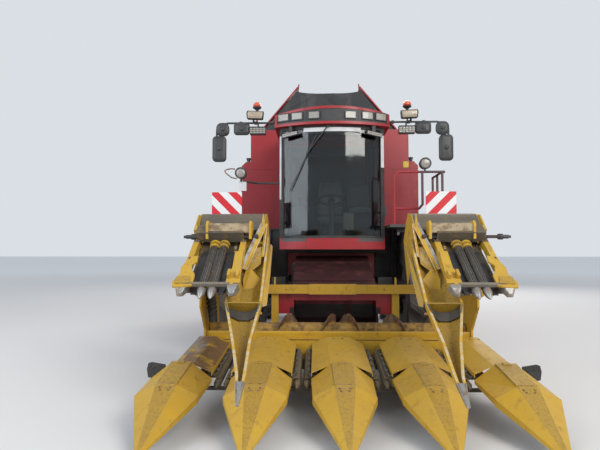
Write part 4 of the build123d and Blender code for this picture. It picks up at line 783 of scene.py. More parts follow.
# lays links along a path of edges, with a lug on every fourth
def chainLinks(tree, given):
    path = addNode(tree, "GeometryNodeMeshToCurve", {"Mesh": given["Geometry"]}).outputs["Curve"]
    spaced = addNode(tree, "GeometryNodeResampleCurve", {"Curve": path, "Length": given["Pitch"]}, mode="LENGTH")
    points = addNode(tree, "GeometryNodeCurveToPoints", {"Curve": spaced.outputs["Curve"]}, mode="EVALUATED").outputs
    turn = addNode(tree, "FunctionNodeAlignRotationToVector",
                   {"Vector": points["Tangent"], "Rotation": points["Rotation"]}, axis="Z").outputs["Rotation"]
    fourth = mathNode(tree, "MODULO", tree.nodes.new("GeometryNodeInputIndex").outputs["Index"], 4.0)
    isLug = addNode(tree, "FunctionNodeCompare", {"A": fourth, "B": 0.5}, operation="LESS_THAN").outputs["Result"]
    joined = tree.nodes.new("GeometryNodeJoinGeometry")
    for share, width, chosen in ((0.82, given["Width"], None), (0.5, given["Lug"], isLug)):
        form = meshBlock(tree, given["Height"], width, times(tree, given["Pitch"], share))
        placed = setOn(tree, points["Points"], form, turn)
        if chosen:
            feed(placed, {"Selection": chosen})
        feed(joined, {0: placed.outputs["Instances"]})
    return joined.outputs[0]


def makeRepeatTrees():
    sizes = {"Width": 0.01, "Length": 0.01, "Height": 0.01}
    makeRepeatTree("stud", "studRepeat", studs, **sizes)
    makeRepeatTree("block", "blockRepeat", blocks, **sizes)
    makeRepeatTree("chain", "chainAlongPath", chainLinks, Pitch=0.04, Width=0.03, Height=0.02, Lug=0.05)


# runs a tree on a seed mesh and keeps the plain mesh that it makes
def grown(name, form, points, edges, values, finish, body, attributes=()):
    seed = bpy.data.meshes.new(name + "Seed")
    seed.from_pydata([tuple(point) for point in points], edges, [])
    for label, vectors in attributes:
        attribute = seed.attributes.new(label, "FLOAT_VECTOR", "POINT")
        attribute.data.foreach_set("vector", [value for vector in vectors for value in vector])
    holder = addToScene(name + "Seed", seed)
    modifier = holder.modifiers.new("repeat", "NODES")
    modifier.node_group = repeatTrees[form]
    for socket in repeatTrees[form].interface.items_tree:
        if socket.in_out == "INPUT" and socket.name in values:
            modifier[socket.identifier] = values[socket.name]
        if socket.name == "Finish":
            modifier[socket.identifier] = materials[finish]
    mesh = bpy.data.meshes.new_from_object(holder.evaluated_get(bpy.context.evaluated_depsgraph_get()))
    bpy.data.objects.remove(holder)
    mesh.name = name
    if not mesh.materials:
        mesh.materials.append(materials[finish])
    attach(addToScene(name, mesh), body)


# places is a list of (point, facing, along); Width runs along, Length across
def repeated(name, form, places, sizes, finish, body="root"):
    points, facing, along = zip(*places)
    values = dict(zip(("Width", "Length", "Height"), sizes))
    grown(name, form, points, [], values, finish, body, (("facing", facing), ("along", along)))


def chained(name, path, values, finish, body):
    count = len(path)
    grown(name, "chain", path, [(k, (k + 1) % count) for k in range(count)], values, finish, body)


# Cab, seen through its glass

screenBow = {"front": -0.650, "half": 0.800, "depth": 0.220}
roofBow = {"front": -0.740, "half": 0.875, "depth": 0.250}

cabTrim = {
    "sealWidth": 0.046, "sealProud": 0.006, "glassFoot": 1.72, "glassHead": 3.40, "glassHalf": 0.795,
    "shade": {"x": (-0.435, 0.430), "z": (3.281, 3.359), "behind": 0.035},
    "wiper": {"pivot": (-0.06, 3.385), "elbow": (-0.40, 2.95), "blade": ((-0.24, 3.24), (-0.64, 2.42))},
}


def onScreen(x, z, out):
    return fromAxle(x, bowY(x, screenBow, out), z)


def makeCabTrim():
    look = cabTrim
    foot, head, half = look["glassFoot"], look["glassHead"], look["glassHalf"]
    seal = startShape()
    proud = (-0.004, look["sealProud"])
    for low, high in ((foot - 0.012, foot + 0.022), (head - 0.055, head - 0.004)):
        addBowBand(seal, (-half, half), (low, high), proud, screenBow, steps=28)
    for side in (-1, 1):
        edges = sorted((side * (half - look["sealWidth"]), side * half))
        addBowBand(seal, edges, (foot, head - 0.05), proud, screenBow, steps=4)
    finishShape(seal, "screenSeal", ["flapRubber"], smooth=True)
    shade = startShape()
    span, (low, high), behind = look["shade"]["x"], look["shade"]["z"], -look["shade"]["behind"]
    addBowBand(shade, span, (low, high), (behind - 0.004, behind), screenBow, 0, 16)
    addBowBand(shade, span, (low - 0.006, low + 0.006), (behind - 0.010, behind + 0.006), screenBow, 1, 16)
    for x in (span[0] + 0.02, span[1] - 0.02):
        addBlock(shade, onScreen(x, (high + head) / 2, behind), (0.014, 0.010, head - high + 0.02), finish=1)
    finishShape(shade, "sunshade", ["whitePlastic", "blackPlastic"], smooth=True)
    wiper = startShape()
    pivot, elbow = Vector(look["wiper"]["pivot"]), Vector(look["wiper"]["elbow"])
    arm = ((pivot, 0.010), (pivot - Vector((0.02, 0.03)), 0.045), ((pivot + elbow) / 2, 0.050), (elbow, 0.026))
    addTube(wiper, [onScreen(*place, out) for place, out in arm], (0.014, 0.010, 0.008, 0.006))
    top, foot = (Vector(end) for end in look["wiper"]["blade"])
    addTube(wiper, [onScreen(*top.lerp(foot, k / 8), 0.018) for k in range(9)], 0.009, 6)
    knob = [(0.030, -0.004), (0.030, 0.022), (0.022, 0.032), (0, 0.034)]
    addSpun(wiper, onScreen(*pivot, 0.0), (0, -1, 0), knob)
    finishShape(wiper, "wiper", ["blackPlastic"], smooth=True)
    print("cab trim made")


# x, z, distances out and steps of the white strips on the windscreen: one along its top, and one down each side, the
# one on the machine's right longer
screenStrips = (
    ((-0.430, 0.430), (3.300, 3.362), (0.006, 0.016), 16),
    ((-0.800, -0.772), (2.30, 3.27), (0.012, 0.020), 2),
    ((0.742, 0.792), (2.78, 3.27), (0.012, 0.020), 2),
)


def makeScreenStrips():
    shape = startShape()
    for x, z, out, steps in screenStrips:
        addBowBand(shape, x, z, out, screenBow, 0, steps)
    finishShape(shape, "screenStrips", ["whitePlastic"], bevel=0.002)
    print("screen strips made")


# a cushion: a crowned block whose sides pull in between its corners
def cushionMesh(name, x, y, z, crown, pull, cuts=10):
    form = bmesh.new()
    bmesh.ops.create_cube(form, size=1.0)
    bmesh.ops.subdivide_edges(form, edges=form.edges[:], cuts=cuts, use_grid_fill=True)
    middle = Vector(((x[0] + x[1]) / 2, (y[0] + y[1]) / 2, (z[0] + z[1]) / 2))
    size = Vector((x[1] - x[0], y[1] - y[0], z[1] - z[0]))
    for corner in form.verts:
        u, v, w = (2 * value for value in corner.co)
        roundness = 1 - 0.06 * (abs(u * v) ** 3 + abs(v * w) ** 3 + abs(u * w) ** 3)
        lift = crown * (1 - u * u) * (1 - v * v) * max(w, 0)
        inward = 1 - pull * (1 - w * w) * 0.5
        corner.co = Vector((u * size.x / 2 * roundness * inward, v * size.y / 2 * roundness * inward,
                            w * size.z / 2 * roundness + lift)) + middle
    mesh = bpy.data.meshes.new(name)
    form.to_mesh(mesh)
    form.free()
    mesh.polygons.foreach_set("use_smooth", [True] * len(mesh.polygons))
    return mesh


stuffing = {"pressure": 4.0, "frames": 20, "cap": 0.016}


# stuffs a cushion by a short cloth simulation, and caps how far a point may move
def stuffed(mesh):
    item = addToScene("stuffing", mesh.copy())
    before = [corner.co.copy() for corner in item.data.vertices]
    cloth = item.modifiers.new("cloth", "CLOTH")
    cloth.settings.use_pressure = True
    cloth.settings.uniform_pressure_force = stuffing["pressure"]
    cloth.settings.effector_weights.gravity = 0.0
    cloth.point_cache.frame_start = 1
    cloth.point_cache.frame_end = stuffing["frames"]
    for number in range(1, stuffing["frames"] + 1):
        bpy.context.scene.frame_set(number)
    ready = item.evaluated_get(bpy.context.evaluated_depsgraph_get())
    after = [corner.co.copy() for corner in ready.data.vertices]
    for corner, old, new in zip(mesh.vertices, before, after):
        step = new - old
        corner.co = old + step * min(1.0, stuffing["cap"] / max(step.length, 1e-9))
    bpy.data.objects.remove(item)
    bpy.context.scene.frame_set(1)


def finishCushion(mesh, fill, *nodesReplaced):
    stuffed(mesh)
    mesh.materials.clear()
    mesh.materials.append(materials["seatCloth"])
    piece = addToScene(mesh.name, mesh)
    fine = piece.modifiers.new("fine", "SUBSURF")
    fine.levels = fine.render_levels = 1
    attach(piece, "root")
    if nodesReplaced:
        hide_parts(*nodesReplaced)


seat = {
    # x, y and z
    "cushion": ((-0.25, 0.25), (0.155, 0.60), (1.975, 2.075)),
    "back": ((-0.235, 0.235), (0.585, 0.665), (2.10, 2.725)),
    "lean": 0.125, "leanHeight": 0.65, "crown": 0.016, "taper": 0.16, "fill": 0.7,
    # middle and size of the plates below and above the folded skirt of the seat's spring
    "plates": (((0, 0.425, 1.683), (0.36, 0.35, 0.040)), ((0, 0.405, 1.956), (0.40, 0.42, 0.026))),
    "skirt": {"x": 0.150, "y": 0.145, "middle": 0.425, "foot": 1.703, "fold": 0.018, "step": 0.030, "rings": 9},
    "rail": ((0.245, 0.60, 2.02), (0.245, 0.655, 2.26), (0.230, 0.735, 2.52)),
}


def makeSeat():
    look = seat
    x, (front, back), z = look["cushion"]
    mesh = cushionMesh("seatCushion", x, (axleY + front, axleY + back), z, 0.012, 0.06)
    finishCushion(mesh, look["fill"], "seat")
    crownEnd = axleY + back
    x, (front, back), z = look["back"]
    mesh = cushionMesh("seatBack", x, (axleY + front, axleY + back), z, 0.0, 0.05)
    # the back leans as its solid does, and its front is crowned
    for corner in mesh.vertices:
        rise = (corner.co.z - z[0]) / look["leanHeight"]
        side = corner.co.x / x[1]
        crown = look["crown"] * (1 - side * side) if corner.co.y < crownEnd else 0
        corner.co.y += look["lean"] * rise - crown
        corner.co.x *= 1 - look["taper"] * max(rise, 0) ** 2
    finishCushion(mesh, look["fill"])
    stand = startShape()
    lower, upper = look["plates"]
    addBlock(stand, fromAxle(*lower[0]), lower[1])
    skirt = look["skirt"]
    rings = []
    for k in range(skirt["rings"]):
        fold = 0.0 if k % 2 else skirt["fold"]
        wide, deep = skirt["x"] + fold, skirt["y"] + fold
        rings.append([fromAxle(x * wide, skirt["middle"] + y * deep, skirt["foot"] + k * skirt["step"])
                      for x, y in ((-1, -1), (1, -1), (1, 1), (-1, 1))])
    addLoft(stand, rings, 1)
    addBlock(stand, fromAxle(*upper[0]), upper[1])
    for side in (-1, 1):
        addTube(stand, [fromAxle(side * x, y, z) for x, y, z in look["rail"]], 0.014)
    finishShape(stand, "seatStand", ["blackPlastic", "flapRubber"], bevel=0.004)
    print("seat made")


cabGoods = {
    "carton": {"middle": (0.285, 0.20), "size": (0.165, 0.22, 0.285), "foot": 1.845, "flap": 6},
    "locker": {"x": (0.13, 0.68), "y": (0.08, 0.62), "z": (1.664, 1.842)},
    "passenger": {"x": (0.30, 0.70), "y": (0.66, 0.98), "cushion": 2.24, "thick": 0.09, "back": 2.70},
    "pedals": (-0.20, 0.20, 0.31),
    # y and z of a pedal's arm, then the points of the column's stalk and of the drive lever
    "pedalArm": ((-0.285, 1.79), (-0.22, 1.72), (-0.20, 1.665)),
    "stalk": ((0.035, -0.125, 2.20), (0.16, -0.155, 2.25), (0.20, -0.165, 2.27)),
    "lever": ((-0.52, 0.22, 2.27), (-0.52, 0.20, 2.36), (-0.52, 0.19, 2.40)),
    "wheelHub": ((0.050, 0.0), (0.055, 0.012), (0.040, 0.028), (0, 0.032)),
}


def makeCabGoods():
    (x0, x1), (y0, y1), (z0, z1) = (cabGoods["locker"][axis] for axis in "xyz")
    locker = startShape()
    addBox(locker, (x0, x1), (y0, y1), (z0, z1))
    addBox(locker, (x0 + 0.03, x1 - 0.03), (y0 - 0.008, y0), (z0 + 0.025, z1 - 0.025))
    finishShape(locker, "cabLocker", ["cabPlastic"], bevel=0.008)
    look = cabGoods["passenger"]
    cushion, thick = look["cushion"], look["thick"]
    front, back = (axleY + value for value in look["y"])
    mesh = cushionMesh("passengerCushion", look["x"], (front - 0.30, back), (cushion - thick, cushion), 0.012, 0.06, 8)
    finishCushion(mesh, 0.6)
    mesh = cushionMesh("passengerBack", look["x"], (back - thick, back - 0.01), (cushion + 0.03, look["back"]),
                       0.0, 0.05, 8)
    finishCushion(mesh, 0.6)
    stand = startShape()
    addBlock(stand, fromAxle(0.50, 0.72, (z1 + cushion - thick) / 2 - 0.09), (0.36, 0.40, cushion - z1 + thick))
    finishShape(stand, "passengerStand", ["cabPlastic"], bevel=0.012)
    look = cabGoods["carton"]
    length, height = look["size"][1:]
    middle = fromAxle(*look["middle"], look["foot"] + height / 2)
    carton = startShape()
    addBlock(carton, middle, look["size"])
    # the two lid flaps stand a little open
    for side in (-1, 1):
        turn = Matrix.Rotation(math.radians(side * look["flap"]), 3, "Y")
        addBlock(carton, middle + Vector((side * 0.040, 0, height / 2 + 0.006)), (0.080, length, 0.004), turn)
    finishShape(carton, "carton", ["cardboard"], bevel=0.002)
    pedals = startShape()
    for x in cabGoods["pedals"]:
        addBlock(pedals, fromAxle(x, -0.30, 1.80), (0.075, 0.012, 0.13), Matrix.Rotation(math.radians(-50), 3, "X"))
        addTube(pedals, [fromAxle(x, y, z) for y, z in cabGoods["pedalArm"]], 0.010)
    finishShape(pedals, "pedals", ["blackPlastic"], bevel=0.003)
    controls = startShape()
    addTube(controls, [fromAxle(*point) for point in cabGoods["stalk"]], (0.008, 0.008, 0.014))
    addSpun(controls, fromAxle(0, -0.098, 2.318), (0, -0.18, 0.58), cabGoods["wheelHub"])
    # the console's top, which the lever stands in
    addBlock(controls, fromAxle(-0.54, 0.30, 2.262), (0.20, 0.30, 0.050), Matrix.Rotation(math.radians(5), 3, "X"))
    addTube(controls, [fromAxle(*point) for point in cabGoods["lever"]], (0.012, 0.012, 0.026), 10)
    finishShape(controls, "driverControls", ["blackPlastic"], bevel=0.003, smooth=True)
    print("cab goods made")


# Roof band, lamps and mirrors

roofLamps = {
    "x": (0.273, 0.530, 0.740), "z": 3.534, "size": (0.152, 0.096), "frame": 0.013,
    "bars": (0.160, 0.400, 0.634), "barZ": (3.462, 3.606),
    # the light bars under the roof
    "light": {"place": (0.625, -0.605, 3.264), "turn": 22, "tilt": 8, "pitch": 0.035, "columns": 7, "row": 0.0125},
}


def makeRoofLamps():
    look = roofLamps
    lenses = startShape()
    frames = startShape()
    width, height, rim = look["size"][0] / 2, look["size"][1] / 2, look["frame"]
    low, high = look["z"] - height, look["z"] + height
    for side in (-1, 1):
        for x in look["x"]:
            left, right = side * x - width, side * x + width
            addBowBand(lenses, (left, right), (low, high), (0.002, 0.008), roofBow, 0, 6)
            full = (low - rim, high + rim)
            for across, up, steps in (((left - rim, left), full, 2), ((right, right + rim), full, 2),
                                      ((left, right), (low - rim, low), 6), ((left, right), (high, high + rim), 6)):
                addBowBand(frames, across, up, (0.001, 0.012), roofBow, 0, steps)
        for x in look["bars"]:
            addBowBand(frames, (side * x - 0.006, side * x + 0.006), look["barZ"], (-0.010, -0.001), roofBow, 0, 2)
    finishShape(lenses, "roofLampLenses", ["clearLens"], bevel=0.002, smooth=True)
    finishShape(frames, "roofLampFrames", ["blackPlastic"], smooth=True)
    cells = []
    light = look["light"]
    for side in (-1, 1):
        x, y, z = light["place"]
        place = Matrix.Translation(fromAxle(side * x, y, z))
        for angle, axis in ((light["turn"], "Z"), (light["tilt"], "Y")):
            place = place @ Matrix.Rotation(math.radians(side * angle), 4, axis)
        turn = place.to_3x3()
        for row in (-1, 1):
            for column in range(light["columns"]):
                spot = Vector((light["pitch"] * (column - 3), -0.0305, row * light["row"]))
                cells.append((place @ spot, turn @ Vector((0, -1, 0)), turn @ Vector((1, 0, 0))))
    repeated("barLampCells", "block", cells, (0.030, 0.020, 0.006), "clearLens")
    print("roof lamps made")


armLamps = {
    "upper": ((1.050, 3.535), (1.062, 3.520), (1.286, 3.528), (1.296, 3.610), (1.280, 3.645), (1.040, 3.630)),
    # length and share of the outline, for each ring
    "shell": ((-0.556, 1.05), (-0.572, 1.05), (-0.576, 0.98), (-0.571, 0.90)),
    "lens": ((-0.566, 0.90), (-0.575, 0.89), (-0.582, 0.70), (-0.585, 0.30)),
    "strap": ((1.202, -0.46, 3.49), (1.202, -0.50, 3.55), (1.16, -0.52, 3.60)),
    "lower": {"x": (1.013, 1.253), "z": (3.292, 3.410), "rows": 3, "columns": 5, "rail": 0.014, "railY": -0.535,
              "cellY": -0.531},
}


def makeArmLamps():
    lenses = startShape()
    shells = startShape()
    outline = armLamps["upper"]
    middleX, middleZ = (sum(values) / len(outline) for values in zip(*outline))
    look = armLamps["lower"]
    (x0, x1), (z0, z1), rail = look["x"], look["z"], look["rail"]
    cells = []
    for side in (-1, 1):
        for shape, steps in ((shells, armLamps["shell"]), (lenses, armLamps["lens"])):
            addLoft(shape, [[fromAxle(side * (middleX + (x - middleX) * grow), y, middleZ + (z - middleZ) * grow)
                             for x, z in outline] for y, grow in steps])
        # a bent strap holds each lamp to the arm
        addTube(shells, [fromAxle(side * x, y, z) for x, y, z in armLamps["strap"]], 0.014, 6)
        for middle in (z0 + rail / 2, z1 - rail / 2):
            addBlock(shells, fromAxle(side * (x0 + x1) / 2, look["railY"], middle), (x1 - x0, 0.018, rail))
        for row in range(look["rows"]):
            for column in range(look["columns"]):
                x = x0 + (x1 - x0) * (column + 0.5) / look["columns"]
                z = z0 + rail + (z1 - z0 - 2 * rail) * (row + 0.5) / look["rows"]
                cells.append((fromAxle(side * x, look["cellY"], z), (0, -1, 0), (1, 0, 0)))
    finishShape(lenses, "armLampLenses", ["amberedLens"], smooth=True)
    finishShape(shells, "armLampShells", ["blackPlastic"], bevel=0.002, smooth=True)
    repeated("armLampCells", "block", cells, (0.040, 0.024, 0.008), "clearLens")
    print("arm lamps made")


railLamps = {
    # x and z, then the lengths of the lamps' fronts and backs
    "places": ((1.350, 2.790), (-1.350, 2.660)), "front": -0.785, "rear": -0.694,
    "bezel": ((0.074, -0.050), (0.083, -0.046), (0.087, 0.006), (0.083, 0.016), (0.068, 0.016), (0.064, 0.002),
              (0.02, -0.002)),
    "lens": ((0.066, 0.001), (0.064, 0.010), (0.045, 0.017), (0.020, 0.020), (0.0, 0.021)),
    "back": ((0.080, -0.004), (0.066, 0.022), (0.030, 0.036), (0.0, 0.038)),
    "guard": ((-1.405, -0.790, 2.575), (-1.480, -0.800, 2.590), (-1.560, -0.802, 2.650), (-1.585, -0.802, 2.690),
              (-1.545, -0.802, 2.712), (-1.480, -0.800, 2.722), (-1.432, -0.790, 2.715)),
    "plate": (-1.328, -0.744, 2.468),
}


def makeRailLamps():
    look = railLamps
    lenses = startShape()
    bezels = startShape()
    for x, z in look["places"]:
        for shape, profile in ((bezels, look["bezel"]), (lenses, look["lens"])):
            addSpun(shape, fromAxle(x, look["front"], z), (0, -1, 0), profile, 28)
        addSpun(bezels, fromAxle(x, look["rear"], z), (0, 1, 0), look["back"], 20)
    finishShape(lenses, "railLampLenses", ["clearLens"], smooth=True)
    finishShape(bezels, "railLampBezels", ["blackPlastic"], smooth=True)
    guard = startShape()
    addTube(guard, [fromAxle(*point) for point in look["guard"]], 0.009, 6)
    finishShape(guard, "lampGuard", ["rustySteel"], smooth=True)
    plate = startShape()
    middle = fromAxle(*look["plate"])
    addBlock(plate, middle, (0.118, 0.004, 0.136))
    addTube(plate, [middle + Vector((0, 0.002, 0.062)), middle + Vector((0, 0.003, 0.088))], 0.008, 6)
    finishShape(plate, "sidePlate", ["whitePlastic"], bevel=0.002)
    print("rail lamps made")


mirrors = {
    # x, z, corner, front, back
    "glasses": (((1.268, 1.496), (3.298, 3.472), 0.040, -0.500, -0.468),
                ((1.580, 1.766), (3.282, 3.474), 0.070, -0.504, -0.468),
                ((1.625, 1.822), (2.885, 3.268), 0.050, -0.508, -0.468)),
    "joint": ((0.034, 0.0), (0.034, 0.016), (0.020, 0.026), (0.0, 0.028)),
    "cup": ((0.016, 0.0), (0.022, 0.010), (0.018, 0.030), (0.028, 0.050), (0.050, 0.062), (0.066, 0.076),
            (0.068, 0.086), (0.062, 0.086), (0.05, 0.078)),
    "clamp": ((0.022, -0.022), (0.026, -0.016), (0.026, 0.016), (0.022, 0.022)),
    # the arm's length, the clamps' and the cups' places on it
    "armY": -0.460, "clampX": (0.93, 1.17, 1.40), "clampZ": 3.482, "cupX": 1.150, "cupZ": 3.640,
}


def makeMirrors():
    shells = startShape()
    glasses = startShape()
    for x, z, corner, front, back in mirrors["glasses"]:
        steps = ((back + 0.002, 0.012), (back + 0.003, -0.004), (back - 0.006, -0.008), (front + 0.006, -0.007),
                 (front - 0.006, 0.006), (front - 0.014, 0.030), (front - 0.017, 0.062))
        addLoft(shells, [roundedRing(x, z, y, corner, inset) for y, inset in steps])
        steps = ((back - 0.002, 0.012), (back + 0.0045, 0.013))
        addLoft(glasses, [roundedRing(x, z, y, corner, inset) for y, inset in steps])
        # the ball joint behind
        joint = fromAxle((x[0] + x[1]) / 2, front - 0.010, (z[0] + z[1]) / 2)
        addSpun(shells, joint, (0, -1, 0), mirrors["joint"], 14)
    for side, ending in ((1, "Left"), (-1, "Right")):
        for shape, name, finish in ((shells, "mirrorShells", "blackPlastic"), (glasses, "mirrorGlass", "mirrorGlass")):
            points = [(side * point.x, point.y, point.z) for point in shape["points"]]
            finishShape({**shape, "points": points}, name + ending, [finish], smooth=True)
    cups = startShape()
    y = mirrors["armY"]
    for side in (-1, 1):
        addSpun(cups, fromAxle(side * mirrors["cupX"], y, mirrors["cupZ"]), (0, 0, 1), mirrors["cup"], 20)
        for x in mirrors["clampX"]:
            addSpun(cups, fromAxle(side * x, y, mirrors["clampZ"]), (1, 0, 0), mirrors["clamp"], 12)
    finishShape(cups, "beaconCups", ["blackPlastic"], smooth=True)
    print("mirrors made")


# Tank canvas, hung between the open covers

tankCanvas = {
    "foot": 3.7503, "head": 4.608, "footHalf": 1.337, "lean": 40, "panels": (1.5765, 2.8440), "sag": 0.045,
    "billow": 0.016, "columns": 84, "rows": 34, "thick": 0.003,
    # from, to as shares across and up, then width and depth
    "creases": (
        ((-0.95, 0.02), (0.15, 0.98), 0.060, 0.020), ((-0.62, 0.0), (0.55, 0.92), 0.045, 0.015),
        ((-0.25, 0.0), (0.88, 0.80), 0.050, -0.014), ((0.93, 0.04), (-0.20, 0.96), 0.055, -0.018),
        ((0.45, 0.0), (0.90, 0.52), 0.040, 0.014), ((-0.90, 0.45), (-0.35, 1.0), 0.045, -0.015),
        ((0.05, 0.05), (-0.75, 0.80), 0.035, 0.010), ((-0.10, 0.40), (0.85, 0.98), 0.035, 0.012),
    ),
}


def creaseDepth(u, v, creases):
    total = 0.0
    for start, end, width, depth in creases:
        a = Vector(start)
        d = Vector(end) - a
        share = (Vector((u, v)) - a).dot(d) / d.length_squared
        nearest = a + d * min(max(share, 0.0), 1.0)
        away = (Vector((u, v)) - nearest).length
        fade = max(0.0, 1.0 - abs(share - 0.5) * 0.9)
        total += depth * fade * math.exp(-(away / width) ** 2)
    return total


def makeTankCanvas():
    look = tankCanvas
    columns, rows = look["columns"], look["rows"]
    height = look["head"] - look["foot"]
    for name, panelY, facing in zip(("tankCanvasFront", "tankCanvasRear"), look["panels"], (-1, 1)):
        points, faces = [], []
        for row in range(rows + 1):
            v = row / rows
            half = look["footHalf"] - height * v * math.tan(math.radians(look["lean"]))
            for column in range(columns + 1):
                u = -1 + 2 * column / columns
                # the upper edge sags between its two corners, which stand up as small horns
                fall = look["sag"] * (1 - u ** 4) * v ** 3
                billow = look["billow"] * (1 - u * u) * math.sin(math.pi * v)
                depth = creaseDepth(-facing * u, v, look["creases"]) - 0.6 * billow
                still = min(1.0, 6 * v, 5 * (1 - abs(u)))
                points.append(fromAxle(u * half, panelY + facing * depth * still, look["foot"] + v * height - fall))
        for row in range(rows):
            for column in range(columns):
                low = row * (columns + 1) + column
                faces.append((low, low + 1, low + columns + 2, low + columns + 1))
        sheet = startShape()
        addFaces(sheet, points, faces)
        piece = finishShape(sheet, name, ["tankCloth"])
        piece.data.polygons.foreach_set("use_smooth", [True] * len(faces))
        cloth = piece.modifiers.new("cloth", "SOLIDIFY")
        cloth.thickness = look["thick"]
        cloth.offset = 0.0
        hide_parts("tank_canvas")
        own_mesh(piece)
    print("tank canvas made")


# Maize header

foldPlane = {"x": 1.545, "y": -2.520, "z": 1.080, "slope": 20}
rowLook = {"rear": -2.420, "foot": 0.372, "slope": 7, "length": 1.0075,
           "rows": (-1.125, -0.375, 0.375, 1.125), "wingRow": 1.875}
dividers = (-1.5, -0.75, 0.0, 0.75, 1.5)
# name's ending, side and body
wings = (("Left", 1, "wing_left"), ("Right", -1, "wing_right"))


# a point of the working left wing, where it lies on either side when the wing is folded inwards
def onWing(sign, x, y, z):
    slope = math.radians(foldPlane["slope"])
    plane = foldPlane["z"] + (y - foldPlane["y"]) * math.tan(slope)
    rise = 2 * math.cos(slope) ** 2 * (plane - z)
    return fromAxle(sign * (2 * foldPlane["x"] - x), y - rise * math.tan(slope), z + rise)


def rowPoint(x, across, up, along):
    slope = math.radians(rowLook["slope"])
    y = rowLook["rear"] - along * math.cos(slope) - up * math.sin(slope)
    return (x + across, y, rowLook["foot"] - along * math.sin(slope) + up * math.cos(slope))


def onWingRow(sign, across, up, along):
    return onWing(sign, *rowPoint(rowLook["wingRow"], across, up, along))


chainLook = {"Pitch": 0.041, "Width": 0.020, "Height": 0.018, "Lug": 0.066}
chainRun = {"radius": 0.042, "aside": 0.104, "up": 0.070, "turns": ((0.16, 1), (rowLook["length"] - 0.12, -1))}


def chainPath(x, side):
    path = []
    for along, turn in chainRun["turns"]:
        for k in range(7):
            angle = math.pi * k / 6
            reach = turn * chainRun["radius"]
            across = side * (chainRun["aside"] + reach * math.cos(angle))
            path.append(rowPoint(x, across, chainRun["up"], along - reach * math.sin(angle)))
    return path


def makeChains():
    sides = ((-1, "A"), (1, "B"))
    for k, x in enumerate(rowLook["rows"]):
        for side, ending in sides:
            path = [fromAxle(*point) for point in chainPath(x, side)]
            chained("gatheringChain" + str(k + 1) + ending, path, chainLook, "chainSteel", "feeder")
    for wing, sign, body in wings:
        for side, ending in sides:
            path = [onWing(sign, *point) for point in chainPath(rowLook["wingRow"], side)]
            chained("wingChain" + wing + ending, path, chainLook, "chainSteel", body)
    print("gathering chains made")


def snoutTop(y):
    if y > -3.95:
        return 0.389 + (y + 3.95) * 0.156
    return 0.385 + (y + 3.95) * 0.3667


headerFittings = {
    # distance from a snout's middle, and length
    "snoutBolts": ((0.052, -3.905), (0.040, -3.935), (0.046, -3.985), (0.034, -4.015), (0.058, -3.500)),
    "hoodBolts": {"x": 0.05, "y": -2.50, "z": 0.5365},
    "frameBolts": (-1.32, -1.0, -0.62, -0.2, 0.14, 0.62, 1.0, 1.32),
    "frameRows": ((-1.652, 0.405), (-1.7005, 1.025)),
    # length, half width and depth of the cover plates on each snout
    "straps": ((-3.962, 0.078, 0.030), (-3.462, 0.082, 0.022)),
    # x and z of the rubber flaps and of their bolts, and the flaps' two faces
    "flap": ((1.660, 0.300), (1.826, 0.318), (1.838, 0.395), (1.824, 0.452), (1.790, 0.462), (1.660, 0.440)),
    "flapBolts": ((1.775, 0.335), (1.775, 0.415)), "flapY": (-3.428, -3.414),
}


def makeHeaderBolts():
    look = headerFittings
    across, ahead = (1, 0, 0), (0, -1, 0)
    bolts = []
    for x in dividers:
        for side in (-1, 1):
            for away, y in look["snoutBolts"]:
                bolts.append((fromAxle(x + side * away, y, snoutTop(y) - 0.001), (0, -0.15, 1), across))
        hood = look["hoodBolts"]
        for side in (-1, 1):
            bolts.append((fromAxle(x + side * hood["x"], hood["y"], hood["z"]), (0, -0.08, 1), across))
    for x in look["frameBolts"]:
        bolts += [(fromAxle(x, y, z), ahead, across) for y, z in look["frameRows"]]
    repeated("headerBolts", "stud", bolts, (0.020, 0.02, 0.008), "rustySteel", "feeder")
    sheets = startShape()
    for x in dividers:
        for y, half, deep in look["straps"]:
            corners = ((-half, 0), (half, 0), (half - 0.004, 0.005), (0.004 - half, 0.005))
            addLoft(sheets, [[fromAxle(x + aside, at, snoutTop(at) + up) for aside, up in corners]
                             for at in (y - deep / 2, y + deep / 2)])
    finishShape(sheets, "snoutStraps", ["soiledYellow"], "feeder")
    flaps = startShape()
    for side in (-1, 1):
        addPlate(flaps, [(side * x, z) for x, z in look["flap"]], look["flapY"])
        for x, z in look["flapBolts"]:
            place = fromAxle(side * x, look["flapY"][0], z)
            addSpun(flaps, place, ahead, [(0.014, 0.0), (0.012, 0.006), (0, 0.008)], 8)
    finishShape(flaps, "rubberFlaps", ["flapRubber"], "feeder", bevel=0.003)
    print("header bolts and flaps made")


wingFittings = {
    "x": (0.905, 1.345), "y": (-3.098, -2.960), "z": (1.700, 1.786),
    # the hex shaft's place and its two ends on each side
    "shaft": (-3.072, 1.654), "shaftEnds": {"Left": (0.845, 1.600), "Right": (0.845, 1.480)},
    "coupling": ((0.024, -0.02), (0.030, -0.01), (0.030, 0.03), (0.020, 0.036), (0.020, 0.085), (0.014, 0.09),
                 (0.014, 0.11)),
    "cap": ((0.024, -0.02), (0.026, -0.01), (0.026, 0.01), (0.014, 0.02), (0.0, 0.022)),
    # the two snapping plates under the row, seen from below while the wing is folded: along and width
    "plates": ((0.30, 0.070), (0.34, 0.088), (0.90, 0.088), (0.985, 0.050)),
    # along and radius of the stalk rolls' points
    "tips": ((0.965, 0.041), (0.985, 0.040), (1.02, 0.034), (1.055, 0.022), (1.085, 0.006)),
    "bolts": (0.12, 0.20, 0.52, 0.86, 0.94),
    # distances from the row's middle
    "plateAside": 0.125, "tipAside": 0.047, "boltAside": 0.24,
    # the bellows over the drive on the machine's right
    "boot": {"top": (-1.452, -2.395, 1.080), "axis": (0.10, 0.02, -1), "folds": 8, "pitch": 0.048},
}


